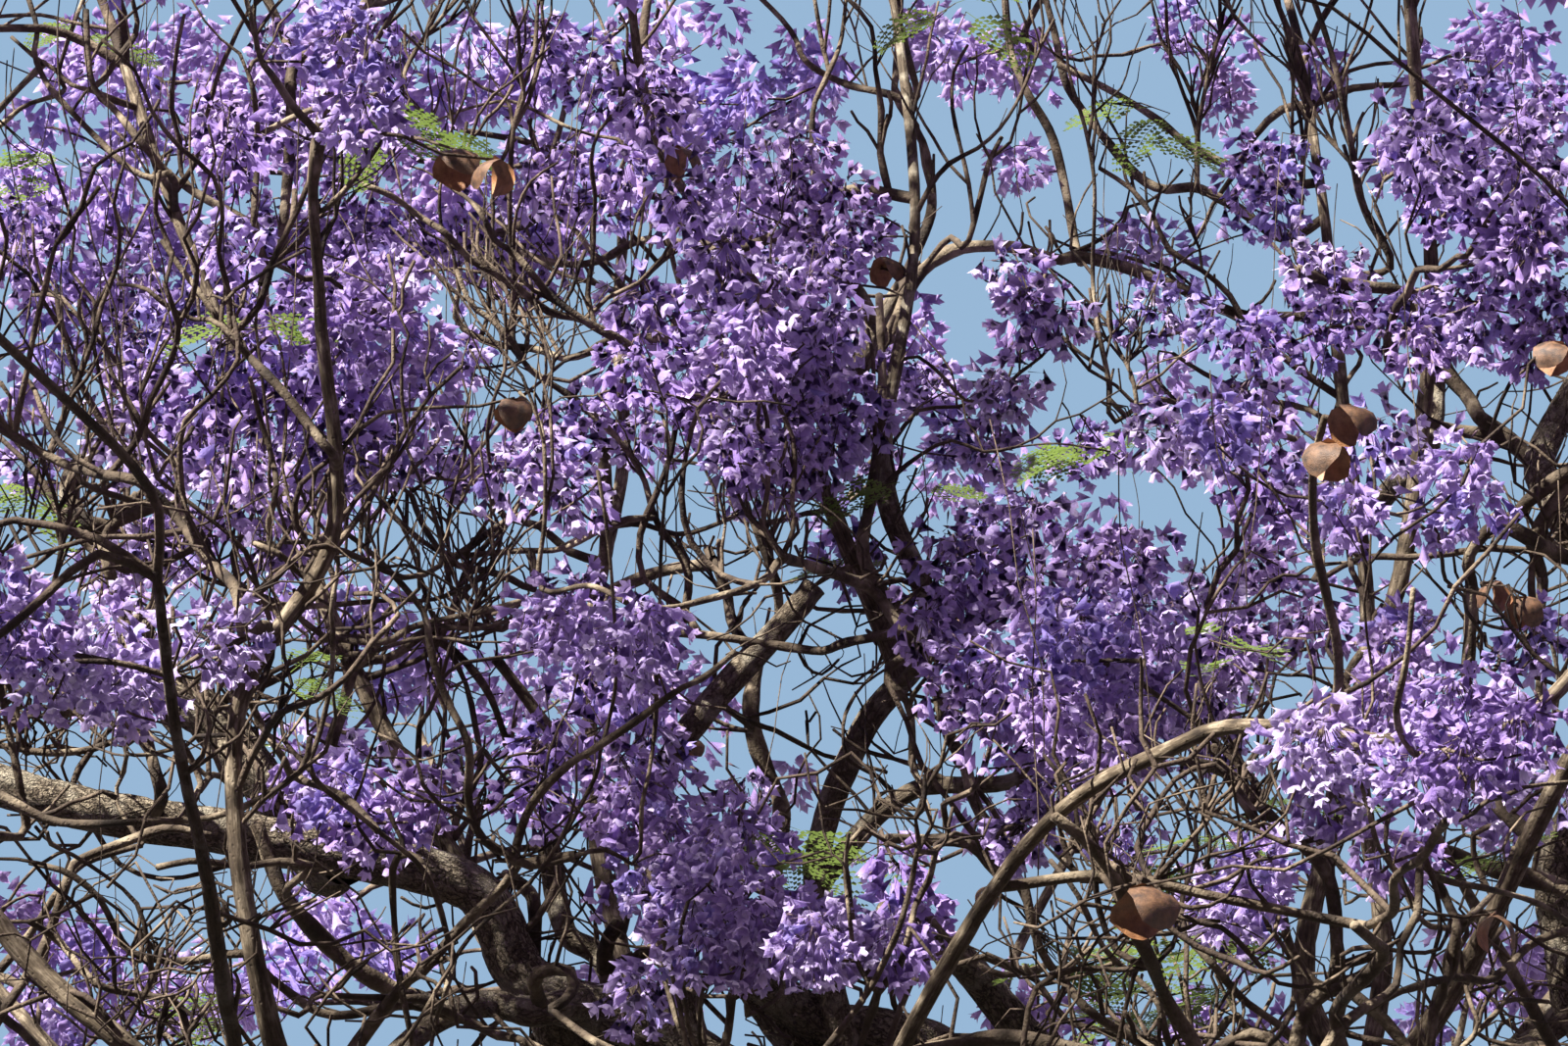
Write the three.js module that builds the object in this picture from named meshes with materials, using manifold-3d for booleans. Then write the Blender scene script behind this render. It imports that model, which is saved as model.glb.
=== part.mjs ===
// A jacaranda in full bloom, in millimetres, +Z up. Its origin is the middle of the flat cut under the trunk.
// The trunk forks low into spreading boughs round a short leader, which forks again inside the crown. Each
// bough or limb ends where it enters its own mass of blossom: three-sided twigs that branch by a seeded rule
// from one stem, each with a hanging spray of flowers at its end. The photograph looks in from the -Y side,
// with -X to its left.

import * as THREE from 'three';
import { mergeVertices } from 'three/addons/utils/BufferGeometryUtils.js';
import Module from 'manifold-3d';

const wasm = await Module();
wasm.setup();

// Driving sizes
const GAP = 0.3; // clear space between pieces that meet
const TRUNK = { height: 2450, lean: [90, 50], taper: 30, shoulder: 0.85, sides: 18, steps: 9 };
const ROOT_FLARE = { spread: 190, height: 330, ribs: 6, ribDepth: 0.32, turned: 0.7 };
const RINGS = {
  lower: { count: 11, radius: 4520, height: 4350, first: 286, reach: 1370 },
  middle: { count: 9, radius: 3480, height: 6350, first: 270, reach: 1400 },
  upper: { count: 5, radius: 1900, height: 8000, first: 252, reach: 1330 },
  top: { count: 1, radius: 160, height: 8600, first: 30, reach: 1150 },
};
const UNEVEN = { seed: 154, radius: 260, height: 280, reach: 110 }; // how far masses may differ, either way
// radius at the foot of a limb with one mass, how it grows with more masses, and radius at tips
const THICKNESS = { one: 34, power: 0.62, tip: 15, taper: 0.8 };
const COLLAR = { share: 0.28, length: 1.6 }; // swelling at a limb's foot, and the radii it takes to die away
const ARCH = { leaves: 0.38, arrives: 0.3 }; // shares of its span that a limb keeps its first and last slopes
const CROOK = { every: 620, sideways: 75, upright: 55 }; // spacing and size of the bends in a limb
const LIMB_STEP = 480; // length of the straight steps that a limb's solid is made of
const CUT_GAP = 0.45; // how much a limb is swollen to cut its neighbours clear
const ENTERS_AT = 0.55; // share of a mass's reach between the end of its limb and its middle

// A mass of blossom. Its inner limit and the bend in its stem are shares of its reach.
const MASS = { sprays: 12, tries: 900, inner: 0.35, flat: 0.85, stemBend: 0.15, stemSteps: 3 };
const SPRAY = { long: 350, wide: 265, least: 0.82, most: 1.12, hang: 0.5, room: 30 }; // halves of its size
const TWIG = { foot: 0.75, wayBack: 0.4, room: 25, step: 260 }; // foot is its share of the radius it leaves
const BARK = { color: 0x6b6056, roughness: 0.95, metalness: 0 };
const BLOSSOM = { color: 0x8f74c4, roughness: 0.8, metalness: 0 };

// Boughs. at is the share of the parent's length where a bough leaves, and to is the mass that it carries, or
// the point where it ends. In degrees, climb is its slope above level at its foot and settle at its tip, and
// veer turns its foot sideways. by lists points on the boughs that cross the photograph's view, and girth is how
// much thicker or thinner one is there than its masses call for.
const BOUGHS = [
  { name: 'leader', from: 'trunk', at: 0.86, to: [190, 60, 4330], by: [[205, 110, 3200]], tip: 112 },
  {
    name: 'bough_front_left', from: 'trunk', at: 0.84, to: ['lower', 10], settle: 14, girth: 0.86,
    by: [
      [-240, -440, 2780], [-350, -780, 3070], [-500, -1160, 3330], [-800, -1640, 3590], [-1020, -2130, 3720],
      [-1050, -2500, 3820], [-1050, -2910, 3970], [-1070, -3250, 4130],
    ],
  },
  { name: 'bough_front_right', from: 'trunk', at: 0.9, to: ['lower', 1], climb: 54, settle: 12, veer: 14 },
  { name: 'bough_right', from: 'trunk', at: 0.8, to: ['lower', 3], climb: 44, settle: 14, veer: -12 },
  { name: 'bough_back_right', from: 'trunk', at: 0.93, to: ['middle', 3], climb: 42, settle: 58, veer: -16 },
  { name: 'bough_back', from: 'trunk', at: 0.88, to: ['lower', 5], climb: 50, settle: 12, veer: 10 },
  { name: 'bough_left', from: 'trunk', at: 0.86, to: ['lower', 8], climb: 48, settle: 12, veer: -10 },
  {
    name: 'bough_arching_left', from: 'leader', at: 0.93, to: ['middle', 7], settle: 52, girth: 1.42, tip: 44,
    by: [[-270, -60, 4440], [-620, -160, 4560], [-780, -290, 4770], [-1300, -430, 4850], [-1900, -570, 4940]],
  },
  {
    name: 'bough_centre', from: 'leader', at: 0.98, to: ['top', 0], settle: 80, girth: 0.8,
    by: [[80, -150, 4810], [190, -220, 5180], [370, -250, 5460], [250, -350, 5850], [340, -340, 6600]],
  },
  {
    name: 'bough_rising_right', from: 'leader', at: 0.86, to: ['middle', 2], settle: 54,
    by: [[640, 140, 4300], [1200, 60, 4360], [1780, 0, 4420], [2190, -130, 4720], [2480, -310, 5230]],
  },
  { name: 'bough_upper_back', from: 'leader', at: 0.8, to: ['middle', 5], climb: 38, settle: 50, veer: 10 },
  {
    name: 'bough_pruned', from: 'bough_arching_left', at: 0.13, to: [75, -430, 5500], tip: 34,
    by: [[-330, -330, 4960]],
  },
];

// Side limbs, each with the mass that it carries. end is the point where one enters its mass, if it isn't on the
// straight way in.
const SIDE_SLOPES = { lower: [30, 14], middle: [60, 60], upper: [56, 68] }; // at a limb's foot and at its tip
const SIDE_VEER = 18; // turned away from the parent's heading at the foot, to either side
const SIDE_LIMBS = [
  {
    from: 'bough_front_left', at: 0.28, to: ['lower', 0],
    by: [
      [90, -1900, 3640], [440, -2660, 4090], [720, -3020, 4190], [870, -3230, 4150], [1070, -3360, 4080],
      [1280, -3520, 4080],
    ],
    end: [1470, -3760, 4280],
  },
  {
    from: 'bough_front_left', at: 0.56, to: ['middle', 0],
    by: [
      [-970, -2450, 3790], [-1045, -2660, 4350], [-860, -2800, 4690], [-880, -2990, 5070], [-870, -3240, 5300],
      [-760, -3350, 5560], [-500, -3330, 5760],
    ],
  },
  {
    from: 'bough_front_left', at: 0.38, to: ['middle', 8],
    by: [[-880, -1460, 3660], [-1330, -1740, 3950], [-1640, -1770, 4230], [-1930, -1900, 4680]],
  },
  { from: 'bough_front_right', at: 0.42, to: ['middle', 1] },
  { from: 'bough_right', at: 0.42, to: ['lower', 2] },
  { from: 'bough_right', at: 0.34, to: ['lower', 4] },
  { from: 'bough_back', at: 0.38, to: ['lower', 6] },
  { from: 'bough_back', at: 0.5, to: ['middle', 4] },
  { from: 'bough_left', at: 0.36, to: ['lower', 7] },
  { from: 'bough_left', at: 0.44, to: ['lower', 9] },
  { from: 'bough_left', at: 0.3, to: ['middle', 6] },
  { from: 'bough_arching_left', at: 0.26, to: ['upper', 4], girth: 0.8 },
  { from: 'bough_centre', at: 0.3, to: ['upper', 0], girth: 0.8 },
  {
    from: 'bough_rising_right', at: 0.36, to: ['upper', 1],
    by: [
      [1300, 30, 4620], [1370, 0, 4970], [1470, -20, 5350], [1590, -20, 5680], [1650, -100, 6030],
      [1680, -260, 6400], [1620, -560, 6900],
    ],
  },
  { from: 'bough_back_right', at: 0.5, to: ['upper', 2] },
  { from: 'bough_upper_back', at: 0.34, to: ['upper', 3] },
];

const UP = new THREE.Vector3(0, 0, 1);
const ALONG_Y = new THREE.Vector3(0, 1, 0);
const FULL_TURN = 2 * Math.PI;
const { degToRad, radToDeg, lerp } = THREE.MathUtils;

// A repeatable stream of numbers from 0 to 1
function seededRandom(seed) {
  let state = seed >>> 0;
  return () => {
    state = (state + 0x6d2b79f5) >>> 0;
    let t = state;
    t = Math.imul(t ^ (t >>> 15), t | 1);
    t ^= t + Math.imul(t ^ (t >>> 7), t | 61);
    return ((t ^ (t >>> 14)) >>> 0) / 4294967296;
  };
}

function eitherWay(random, size) {
  return (2 * random() - 1) * size;
}

// Directions and steps
function heading(from, to) {
  return radToDeg(Math.atan2(to.y - from.y, to.x - from.x));
}

function direction(headingDegrees, slopeDegrees) {
  const flat = Math.cos(degToRad(slopeDegrees));
  const turn = degToRad(headingDegrees);
  return new THREE.Vector3(flat * Math.cos(turn), flat * Math.sin(turn), Math.sin(degToRad(slopeDegrees)));
}

function stepsBetween(a, b, count) {
  return Array.from({ length: count }, (_, i) => a.clone().lerp(b, (i + 1) / count));
}

// Where the masses are: rings round the crown, each mass a little out of place, and one at the top
function placeMasses() {
  const random = seededRandom(UNEVEN.seed);
  const masses = new Map();
  for (const [ring, { count, radius, height, first, reach }] of Object.entries(RINGS)) {
    for (let i = 0; i < count; i++) {
      const out = radius + eitherWay(random, count > 1 ? UNEVEN.radius : 0);
      const centre = direction(first + (360 / count) * i, 0).multiplyScalar(out);
      centre.z = height + eitherWay(random, UNEVEN.height);
      masses.set(`${ring}_${i}`, { centre, reach: reach + eitherWay(random, UNEVEN.reach) });
    }
  }
  return masses;
}

const masses = placeMasses();
const massOf = (limb) => masses.get(limb.to.join('_'));
const carriesMass = (limb) => limb.to.length === 2;

// Limbs as middle lines and radii
class TrunkLine extends THREE.Curve {
  getPoint(t, target = new THREE.Vector3()) {
    const [x, y] = TRUNK.lean;
    return target.set(x * t * t, y * t * t, TRUNK.height * t);
  }
}

function limbEnd(limb, foot) {
  if (limb.end) return new THREE.Vector3(...limb.end);
  if (!carriesMass(limb)) return new THREE.Vector3(...limb.to);
  const { centre, reach } = massOf(limb);
  const inward = direction(heading(foot, centre), limb.settle);
  return centre.clone().addScaledVector(inward, -reach * ENTERS_AT);
}

// An arch from foot to end, knocked crooked at even steps
function crookedArch(limb, foot, end, random) {
  const span = foot.distanceTo(end);
  const straight = heading(foot, end);
  const rising = direction(straight + limb.veer, limb.climb);
  const leaving = foot.clone().addScaledVector(rising, span * ARCH.leaves);
  const arriving = end.clone().addScaledVector(direction(straight, limb.settle), -span * ARCH.arrives);
  const arch = new THREE.CubicBezierCurve3(foot, leaving, arriving, end);
  const across = direction(straight + 90, 0);
  const bends = Math.round(span / CROOK.every);
  return arch.getSpacedPoints(bends + 1).slice(1, -1).map((point) => {
    point.addScaledVector(across, eitherWay(random, CROOK.sideways));
    return point.addScaledVector(UP, eitherWay(random, CROOK.upright));
  });
}

function layOutLimbs() {
  const trunk = { name: 'trunk', to: [], line: new TrunkLine(), tip: 0 };
  const laid = new Map([['trunk', trunk]]);
  const sides = SIDE_LIMBS.map((side, i) => {
    const [climb, settle] = SIDE_SLOPES[side.to[0]];
    return { name: `limb_${side.to.join('_')}`, climb, settle, veer: i % 2 ? SIDE_VEER : -SIDE_VEER, ...side };
  });
  [...BOUGHS, ...sides].forEach((limb, i) => {
    const foot = laid.get(limb.from).line.getPointAt(limb.at);
    const end = limbEnd(limb, foot);
    const between = limb.by?.map((point) => new THREE.Vector3(...point));
    const points = [foot, ...(between ?? crookedArch(limb, foot, end, seededRandom(31 + i))), end];
    const line = new THREE.CatmullRomCurve3(points, false, 'catmullrom');
    laid.set(limb.name, { tip: THICKNESS.tip, ...limb, line });
  });
  return laid;
}

const limbs = layOutLimbs();

function massesCarried(limb) {
  const children = [...limbs.values()].filter((other) => other.from === limb.name);
  return children.reduce((sum, child) => sum + massesCarried(child), carriesMass(limb) ? 1 : 0);
}

// A limb is thicker the more masses it carries.
function limbRadius(limb) {
  const load = Math.max(1, massesCarried(limb));
  const foot = THICKNESS.one * load ** THICKNESS.power * (limb.girth ?? 1);
  const length = limb.line.getLength();
  return (share) => {
    const taper = lerp(foot, limb.tip, share ** THICKNESS.taper);
    return taper * (1 + COLLAR.share * Math.exp((-share * length) / (COLLAR.length * foot)));
  };
}

// The trunk has a ribbed root flare and a rounded shoulder where the boughs leave it.
function trunkRadius(share, angle) {
  const { spread, height, ribs, ribDepth, turned } = ROOT_FLARE;
  const waist = THICKNESS.one * masses.size ** THICKNESS.power;
  const flare = spread * Math.exp((-share * TRUNK.height) / height);
  const ribbed = 1 + ribDepth * Math.cos(ribs * angle + turned);
  const pastShoulder = Math.max(0, (share - TRUNK.shoulder) / (1 - TRUNK.shoulder));
  return (waist - TRUNK.taper * share + flare * ribbed) * Math.sqrt(1 - 0.88 * pastShoulder ** 2);
}

for (const limb of limbs.values()) limb.radius = limb.name === 'trunk' ? trunkRadius : limbRadius(limb);

// Points close together along every limb, for keeping twigs and sprays clear of them
const limbPoints = [...limbs.values()].flatMap(({ line, radius }) => {
  const count = Math.ceil(line.getLength() / 30);
  return line.getSpacedPoints(count).map((point, i) => ({ point, radius: radius(i / count, 0) }));
});

// Solids
function solid(geometry) {
  const bare = geometry.clone();
  bare.deleteAttribute('normal');
  bare.deleteAttribute('uv');
  const merged = mergeVertices(bare, 1e-3);
  const vertProperties = merged.attributes.position.array;
  const triVerts = new Uint32Array(merged.index.array);
  return new wasm.Manifold(new wasm.Mesh({ numProp: 3, vertProperties, triVerts }));
}

// A closed tube bent along a line, its radius given by the share of its length and the angle round it, and
// made larger all over by swell
function tube(line, radius, sides, steps, swell = 0) {
  const geometry = new THREE.CylinderGeometry(1, 1, 1, sides, steps);
  const position = geometry.attributes.position;
  const { tangents, normals, binormals } = line.computeFrenetFrames(steps);
  for (let i = 0; i < position.count; i++) {
    const share = position.getY(i) + 0.5;
    const [x, z] = [position.getX(i), position.getZ(i)];
    const size = radius(share, Math.atan2(z, x)) + swell;
    const ring = Math.round(share * steps);
    const pastEnd = (ring === steps) - (ring === 0);
    const point = line.getPointAt(share).addScaledVector(tangents[ring], pastEnd * swell);
    point.addScaledVector(normals[ring], x * size).addScaledVector(binormals[ring], -z * size);
    position.setXYZ(i, point.x, point.y, point.z);
  }
  return solid(geometry);
}

function standAlong(geometry, along, middle) {
  geometry.applyQuaternion(new THREE.Quaternion().setFromUnitVectors(ALONG_Y, along));
  return geometry.translate(middle.x, middle.y, middle.z);
}

function twig(from, to, foot) {
  const along = to.clone().sub(from);
  const geometry = new THREE.ConeGeometry(foot, along.length(), 3);
  return solid(standAlong(geometry, along.normalize(), from.clone().lerp(to, 0.5)));
}

// Leaves out loose scraps, and the inner walls of hollows that joining has sealed
function largestBody(shape) {
  return shape.decompose().sort((a, b) => b.volume() - a.volume())[0];
}

// Space round a mass: the wall half way to each neighbouring mass, and the limbs near it
function insideOwnSpace(point, own) {
  const others = [...masses.values()].filter((mass) => mass !== own);
  return Math.min(
    ...others.map(({ centre }) => {
      const lead = point.distanceToSquared(centre) - point.distanceToSquared(own.centre);
      return lead / (2 * centre.distanceTo(own.centre));
    }),
  );
}

function twigClear(from, to, own, near, sprays) {
  const way = new THREE.Line3(from, to);
  const closest = new THREE.Vector3();
  const distance = (point) => way.closestPointToPoint(point, true, closest).distanceTo(point);
  if (near.some(({ point, radius }) => distance(point) < radius + TWIG.room)) return false;
  if (sprays.some(({ place }) => distance(place) < SPRAY.wide)) return false;
  return insideOwnSpace(to, own) > TWIG.room && insideOwnSpace(from, own) > TWIG.room;
}

// A spray is a stretched lozenge of eight faces, its corners in the mass's space and its faces off the limbs.
function planSpray(place, own, random) {
  const outward = place.clone().sub(own.centre).setZ(0).normalize();
  const hang = outward.multiplyScalar(SPRAY.hang).addScaledVector(UP, -1).normalize();
  const size = lerp(SPRAY.least, SPRAY.most, random());
  const geometry = new THREE.OctahedronGeometry(1);
  geometry.rotateY(random() * Math.PI);
  geometry.scale(SPRAY.wide * size, SPRAY.long * size, SPRAY.wide * size);
  return { place, hang, size, geometry: standAlong(geometry, hang, place) };
}

function sprayClear(spray, own, near, others) {
  const position = spray.geometry.attributes.position;
  const corner = new THREE.Vector3();
  for (let i = 0; i < position.count; i++) {
    if (insideOwnSpace(corner.fromBufferAttribute(position, i), own) < SPRAY.room) return false;
  }
  const along = new THREE.Vector3();
  const reaches = (point, room) => {
    along.copy(point).sub(spray.place);
    const down = along.dot(spray.hang);
    const off = along.addScaledVector(spray.hang, -down).length();
    return Math.abs(down) / (SPRAY.long * spray.size + room) + off / (SPRAY.wide * spray.size + room) < 1;
  };
  if (near.some(({ point, radius }) => reaches(point, 1.7 * radius + SPRAY.room))) return false;
  return !others.some((other) => reaches(other.place, SPRAY.wide * 0.9));
}

// The grown point that a new twig leaves from: near its end, and not a long way round from the stem
function bestRoot(grown, end) {
  const cost = (node) => node.point.distanceTo(end) + TWIG.wayBack * node.way;
  return grown.reduce((best, node) => (cost(node) < cost(best) ? node : best));
}

// Anywhere in the outer part of a mass's space, a little flatter than a ball
function pointInReach(random, { centre, reach }) {
  const turn = FULL_TURN * random();
  const rise = 2 * random() - 1;
  const flat = Math.sqrt(1 - rise * rise);
  const out = reach * lerp(MASS.inner, 1, Math.sqrt(random())) - 0.6 * SPRAY.wide;
  const point = new THREE.Vector3(flat * Math.cos(turn), flat * Math.sin(turn), MASS.flat * rise);
  return point.multiplyScalar(out).add(centre);
}

// The stem of a mass starts clear of its limb's tip, in line with it, and bends to the middle of the mass.
function stemLine(limb, own) {
  const tip = limb.line.getPointAt(1);
  const along = limb.line.getTangentAt(1);
  const start = tip.clone().addScaledVector(along, GAP);
  const bend = tip.clone().addScaledVector(along, own.reach * MASS.stemBend);
  return new THREE.CatmullRomCurve3([start, bend, own.centre], false, 'catmullrom');
}

function growMass(limb, seed) {
  const random = seededRandom(seed);
  const own = massOf(limb);
  const near = limbPoints.filter(({ point }) => point.distanceTo(own.centre) < own.reach + SPRAY.long * 2);
  const stem = stemLine(limb, own);
  const stemRadius = (share) => THICKNESS.tip * (1 - 0.25 * share);
  const pieces = [tube(stem, stemRadius, 5, MASS.stemSteps)];
  const joints = stem.getSpacedPoints(MASS.stemSteps).slice(1);
  const grown = joints.map((point) => ({ point, way: 0, radius: stemRadius(1) }));
  const sprays = [];
  for (let tries = 0; sprays.length < MASS.sprays && tries < MASS.tries; tries++) {
    const spray = planSpray(pointInReach(random, own), own, random);
    const { place } = spray;
    const root = bestRoot(grown, place);
    if (!sprayClear(spray, own, near, sprays) || !twigClear(root.point, place, own, near, sprays)) continue;
    sprays.push(spray);
    const foot = root.radius * TWIG.foot;
    pieces.push(twig(root.point, place, foot), solid(spray.geometry));
    const length = root.point.distanceTo(place);
    for (const point of stepsBetween(root.point, place, Math.ceil(length / TWIG.step))) {
      if (point.distanceTo(place) < SPRAY.long) break;
      const gone = point.distanceTo(root.point);
      grown.push({ point, way: root.way + gone, radius: foot * (1 - gone / length) });
    }
  }
  return largestBody(pieces.reduce((whole, piece) => whole.add(piece)));
}

// The tree
const tree = new THREE.Group();

function add(name, shape, look) {
  const { vertProperties, triVerts } = shape.getMesh();
  const geometry = new THREE.BufferGeometry();
  geometry.setAttribute('position', new THREE.BufferAttribute(vertProperties, 3));
  geometry.setIndex(new THREE.BufferAttribute(triVerts, 1));
  geometry.computeVertexNormals();
  const mesh = new THREE.Mesh(geometry, new THREE.MeshStandardMaterial(look));
  mesh.name = name;
  tree.add(mesh);
}

// Each limb starts on its parent's middle line, and is cut clear of the parent and of the limbs already there.
const cutters = new Map();
for (const limb of limbs.values()) {
  const isTrunk = limb.name === 'trunk';
  const sides = isTrunk ? TRUNK.sides : massesCarried(limb) > 1 ? 6 : 5;
  const steps = isTrunk ? TRUNK.steps : Math.ceil(limb.line.getLength() / LIMB_STEP);
  const whole = tube(limb.line, limb.radius, sides, steps);
  const meets = (name) => name === limb.from || limbs.get(name).from === limb.from;
  const neighbours = [...cutters.keys()].filter(meets);
  const cut = neighbours.reduce((shape, name) => shape.subtract(cutters.get(name)), whole);
  add(limb.name, largestBody(cut), BARK);
  cutters.set(limb.name, tube(limb.line, limb.radius, sides, steps, CUT_GAP));
}

[...limbs.values()].filter(carriesMass).forEach((limb, i) => {
  add(`blossom_${limb.to.join('_')}`, growMass(limb, 101 + i), BLOSSOM);
});

export default tree;
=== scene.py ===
import math
from collections import namedtuple
import bpy
import numpy as np
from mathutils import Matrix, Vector


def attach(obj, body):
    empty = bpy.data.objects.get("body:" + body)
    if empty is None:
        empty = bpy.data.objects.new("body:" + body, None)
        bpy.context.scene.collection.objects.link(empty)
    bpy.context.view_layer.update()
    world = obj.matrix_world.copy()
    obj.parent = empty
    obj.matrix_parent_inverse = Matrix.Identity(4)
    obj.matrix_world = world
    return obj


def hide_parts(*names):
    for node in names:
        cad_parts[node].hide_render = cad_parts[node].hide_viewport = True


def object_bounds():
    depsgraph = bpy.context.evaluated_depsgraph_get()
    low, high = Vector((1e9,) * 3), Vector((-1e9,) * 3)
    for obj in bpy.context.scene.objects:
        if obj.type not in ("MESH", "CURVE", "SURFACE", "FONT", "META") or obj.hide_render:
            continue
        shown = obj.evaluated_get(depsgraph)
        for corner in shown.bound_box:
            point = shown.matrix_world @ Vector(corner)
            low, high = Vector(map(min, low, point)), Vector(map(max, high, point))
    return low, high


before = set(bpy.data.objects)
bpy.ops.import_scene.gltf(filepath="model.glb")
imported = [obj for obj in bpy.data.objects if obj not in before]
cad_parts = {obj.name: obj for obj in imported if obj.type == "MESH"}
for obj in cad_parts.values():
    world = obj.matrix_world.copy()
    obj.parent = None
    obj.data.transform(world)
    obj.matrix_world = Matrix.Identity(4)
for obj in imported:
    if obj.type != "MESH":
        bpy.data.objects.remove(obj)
cad_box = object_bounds()

# A jacaranda in full bloom, in metres, seen from inside its crown. Limbs and masses are laid out by the same
# sizes and rules as the part's own solids, and the twigs, bells, pods and leaves grow on from them.

# The photograph's view
PHOTO_WIDE, PHOTO_TALL = 1600, 1067
CAMERA = np.array([0.0, -10.5, 1.6])
LOOKS_UP = math.radians(22)
LENS, SENSOR = 100, 36
PIXELS = PHOTO_WIDE * LENS / SENSOR  # pixels to one unit across, at one unit ahead
RIGHT = np.array([1.0, 0.0, 0.0])
AHEAD = np.array([0.0, math.cos(LOOKS_UP), math.sin(LOOKS_UP)])
ABOVE = np.array([0.0, -math.sin(LOOKS_UP), math.cos(LOOKS_UP)])
UP = np.array([0.0, 0.0, 1.0])

# Sizes that the solids share
TRUNK = dict(height=2.45, lean=(0.09, 0.05), taper=0.03, shoulder=0.85, rounding=0.88)
FLARE = dict(spread=0.19, height=0.33, ribs=6, rib_depth=0.32, turned=0.7)
RINGS = dict(
    lower=dict(count=11, radius=4.52, height=4.35, first=286, reach=1.37),
    middle=dict(count=9, radius=3.48, height=6.35, first=270, reach=1.40),
    upper=dict(count=5, radius=1.90, height=8.00, first=252, reach=1.33),
    top=dict(count=1, radius=0.16, height=8.60, first=30, reach=1.15),
)
UNEVEN = dict(seed=154, radius=0.26, height=0.28, reach=0.11)
THICK = dict(one=0.034, power=0.62, tip=0.015, taper=0.8)
COLLAR = dict(share=0.28, length=1.6)
ARCH = dict(leaves=0.38, arrives=0.3)
CROOK = dict(seed=31, every=0.62, sideways=0.075, upright=0.055)
ENTERS_AT = 0.55
STEM_BEND = 0.15
BOUGHS = [
    dict(name="leader", origin="trunk", at=0.86, to=(0.19, 0.06, 4.33), by=[(0.205, 0.11, 3.2)], tip=0.112),
    dict(name="bough_front_left", origin="trunk", at=0.84, to=("lower", 10), settle=14, girth=0.86,
         by=[(-0.24, -0.44, 2.78), (-0.35, -0.78, 3.07), (-0.5, -1.16, 3.33), (-0.8, -1.64, 3.59),
             (-1.02, -2.13, 3.72), (-1.05, -2.5, 3.82), (-1.05, -2.91, 3.97), (-1.07, -3.25, 4.13)]),
    dict(name="bough_front_right", origin="trunk", at=0.9, to=("lower", 1), climb=54, settle=12, veer=14),
    dict(name="bough_right", origin="trunk", at=0.8, to=("lower", 3), climb=44, settle=14, veer=-12),
    dict(name="bough_back_right", origin="trunk", at=0.93, to=("middle", 3), climb=42, settle=58, veer=-16),
    dict(name="bough_back", origin="trunk", at=0.88, to=("lower", 5), climb=50, settle=12, veer=10),
    dict(name="bough_left", origin="trunk", at=0.86, to=("lower", 8), climb=48, settle=12, veer=-10),
    dict(name="bough_arching_left", origin="leader", at=0.93, to=("middle", 7), settle=52, girth=1.42,
         tip=0.044,
         by=[(-0.27, -0.06, 4.44), (-0.62, -0.16, 4.56), (-0.78, -0.29, 4.77), (-1.3, -0.43, 4.85),
             (-1.9, -0.57, 4.94)]),
    dict(name="bough_centre", origin="leader", at=0.98, to=("top", 0), settle=80, girth=0.8,
         by=[(0.08, -0.15, 4.81), (0.19, -0.22, 5.18), (0.37, -0.25, 5.46), (0.25, -0.35, 5.85),
             (0.34, -0.34, 6.6)]),
    dict(name="bough_rising_right", origin="leader", at=0.86, to=("middle", 2), settle=54,
         by=[(0.64, 0.14, 4.3), (1.2, 0.06, 4.36), (1.78, 0.0, 4.42), (2.19, -0.13, 4.72),
             (2.48, -0.31, 5.23)]),
    dict(name="bough_upper_back", origin="leader", at=0.8, to=("middle", 5), climb=38, settle=50, veer=10),
    dict(name="bough_pruned", origin="bough_arching_left", at=0.13, to=(0.075, -0.43, 5.5), tip=0.034,
         by=[(-0.33, -0.33, 4.96)]),
]
SIDE_SLOPES = dict(lower=(30, 14), middle=(60, 60), upper=(56, 68))
SIDE_VEER = 18
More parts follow.
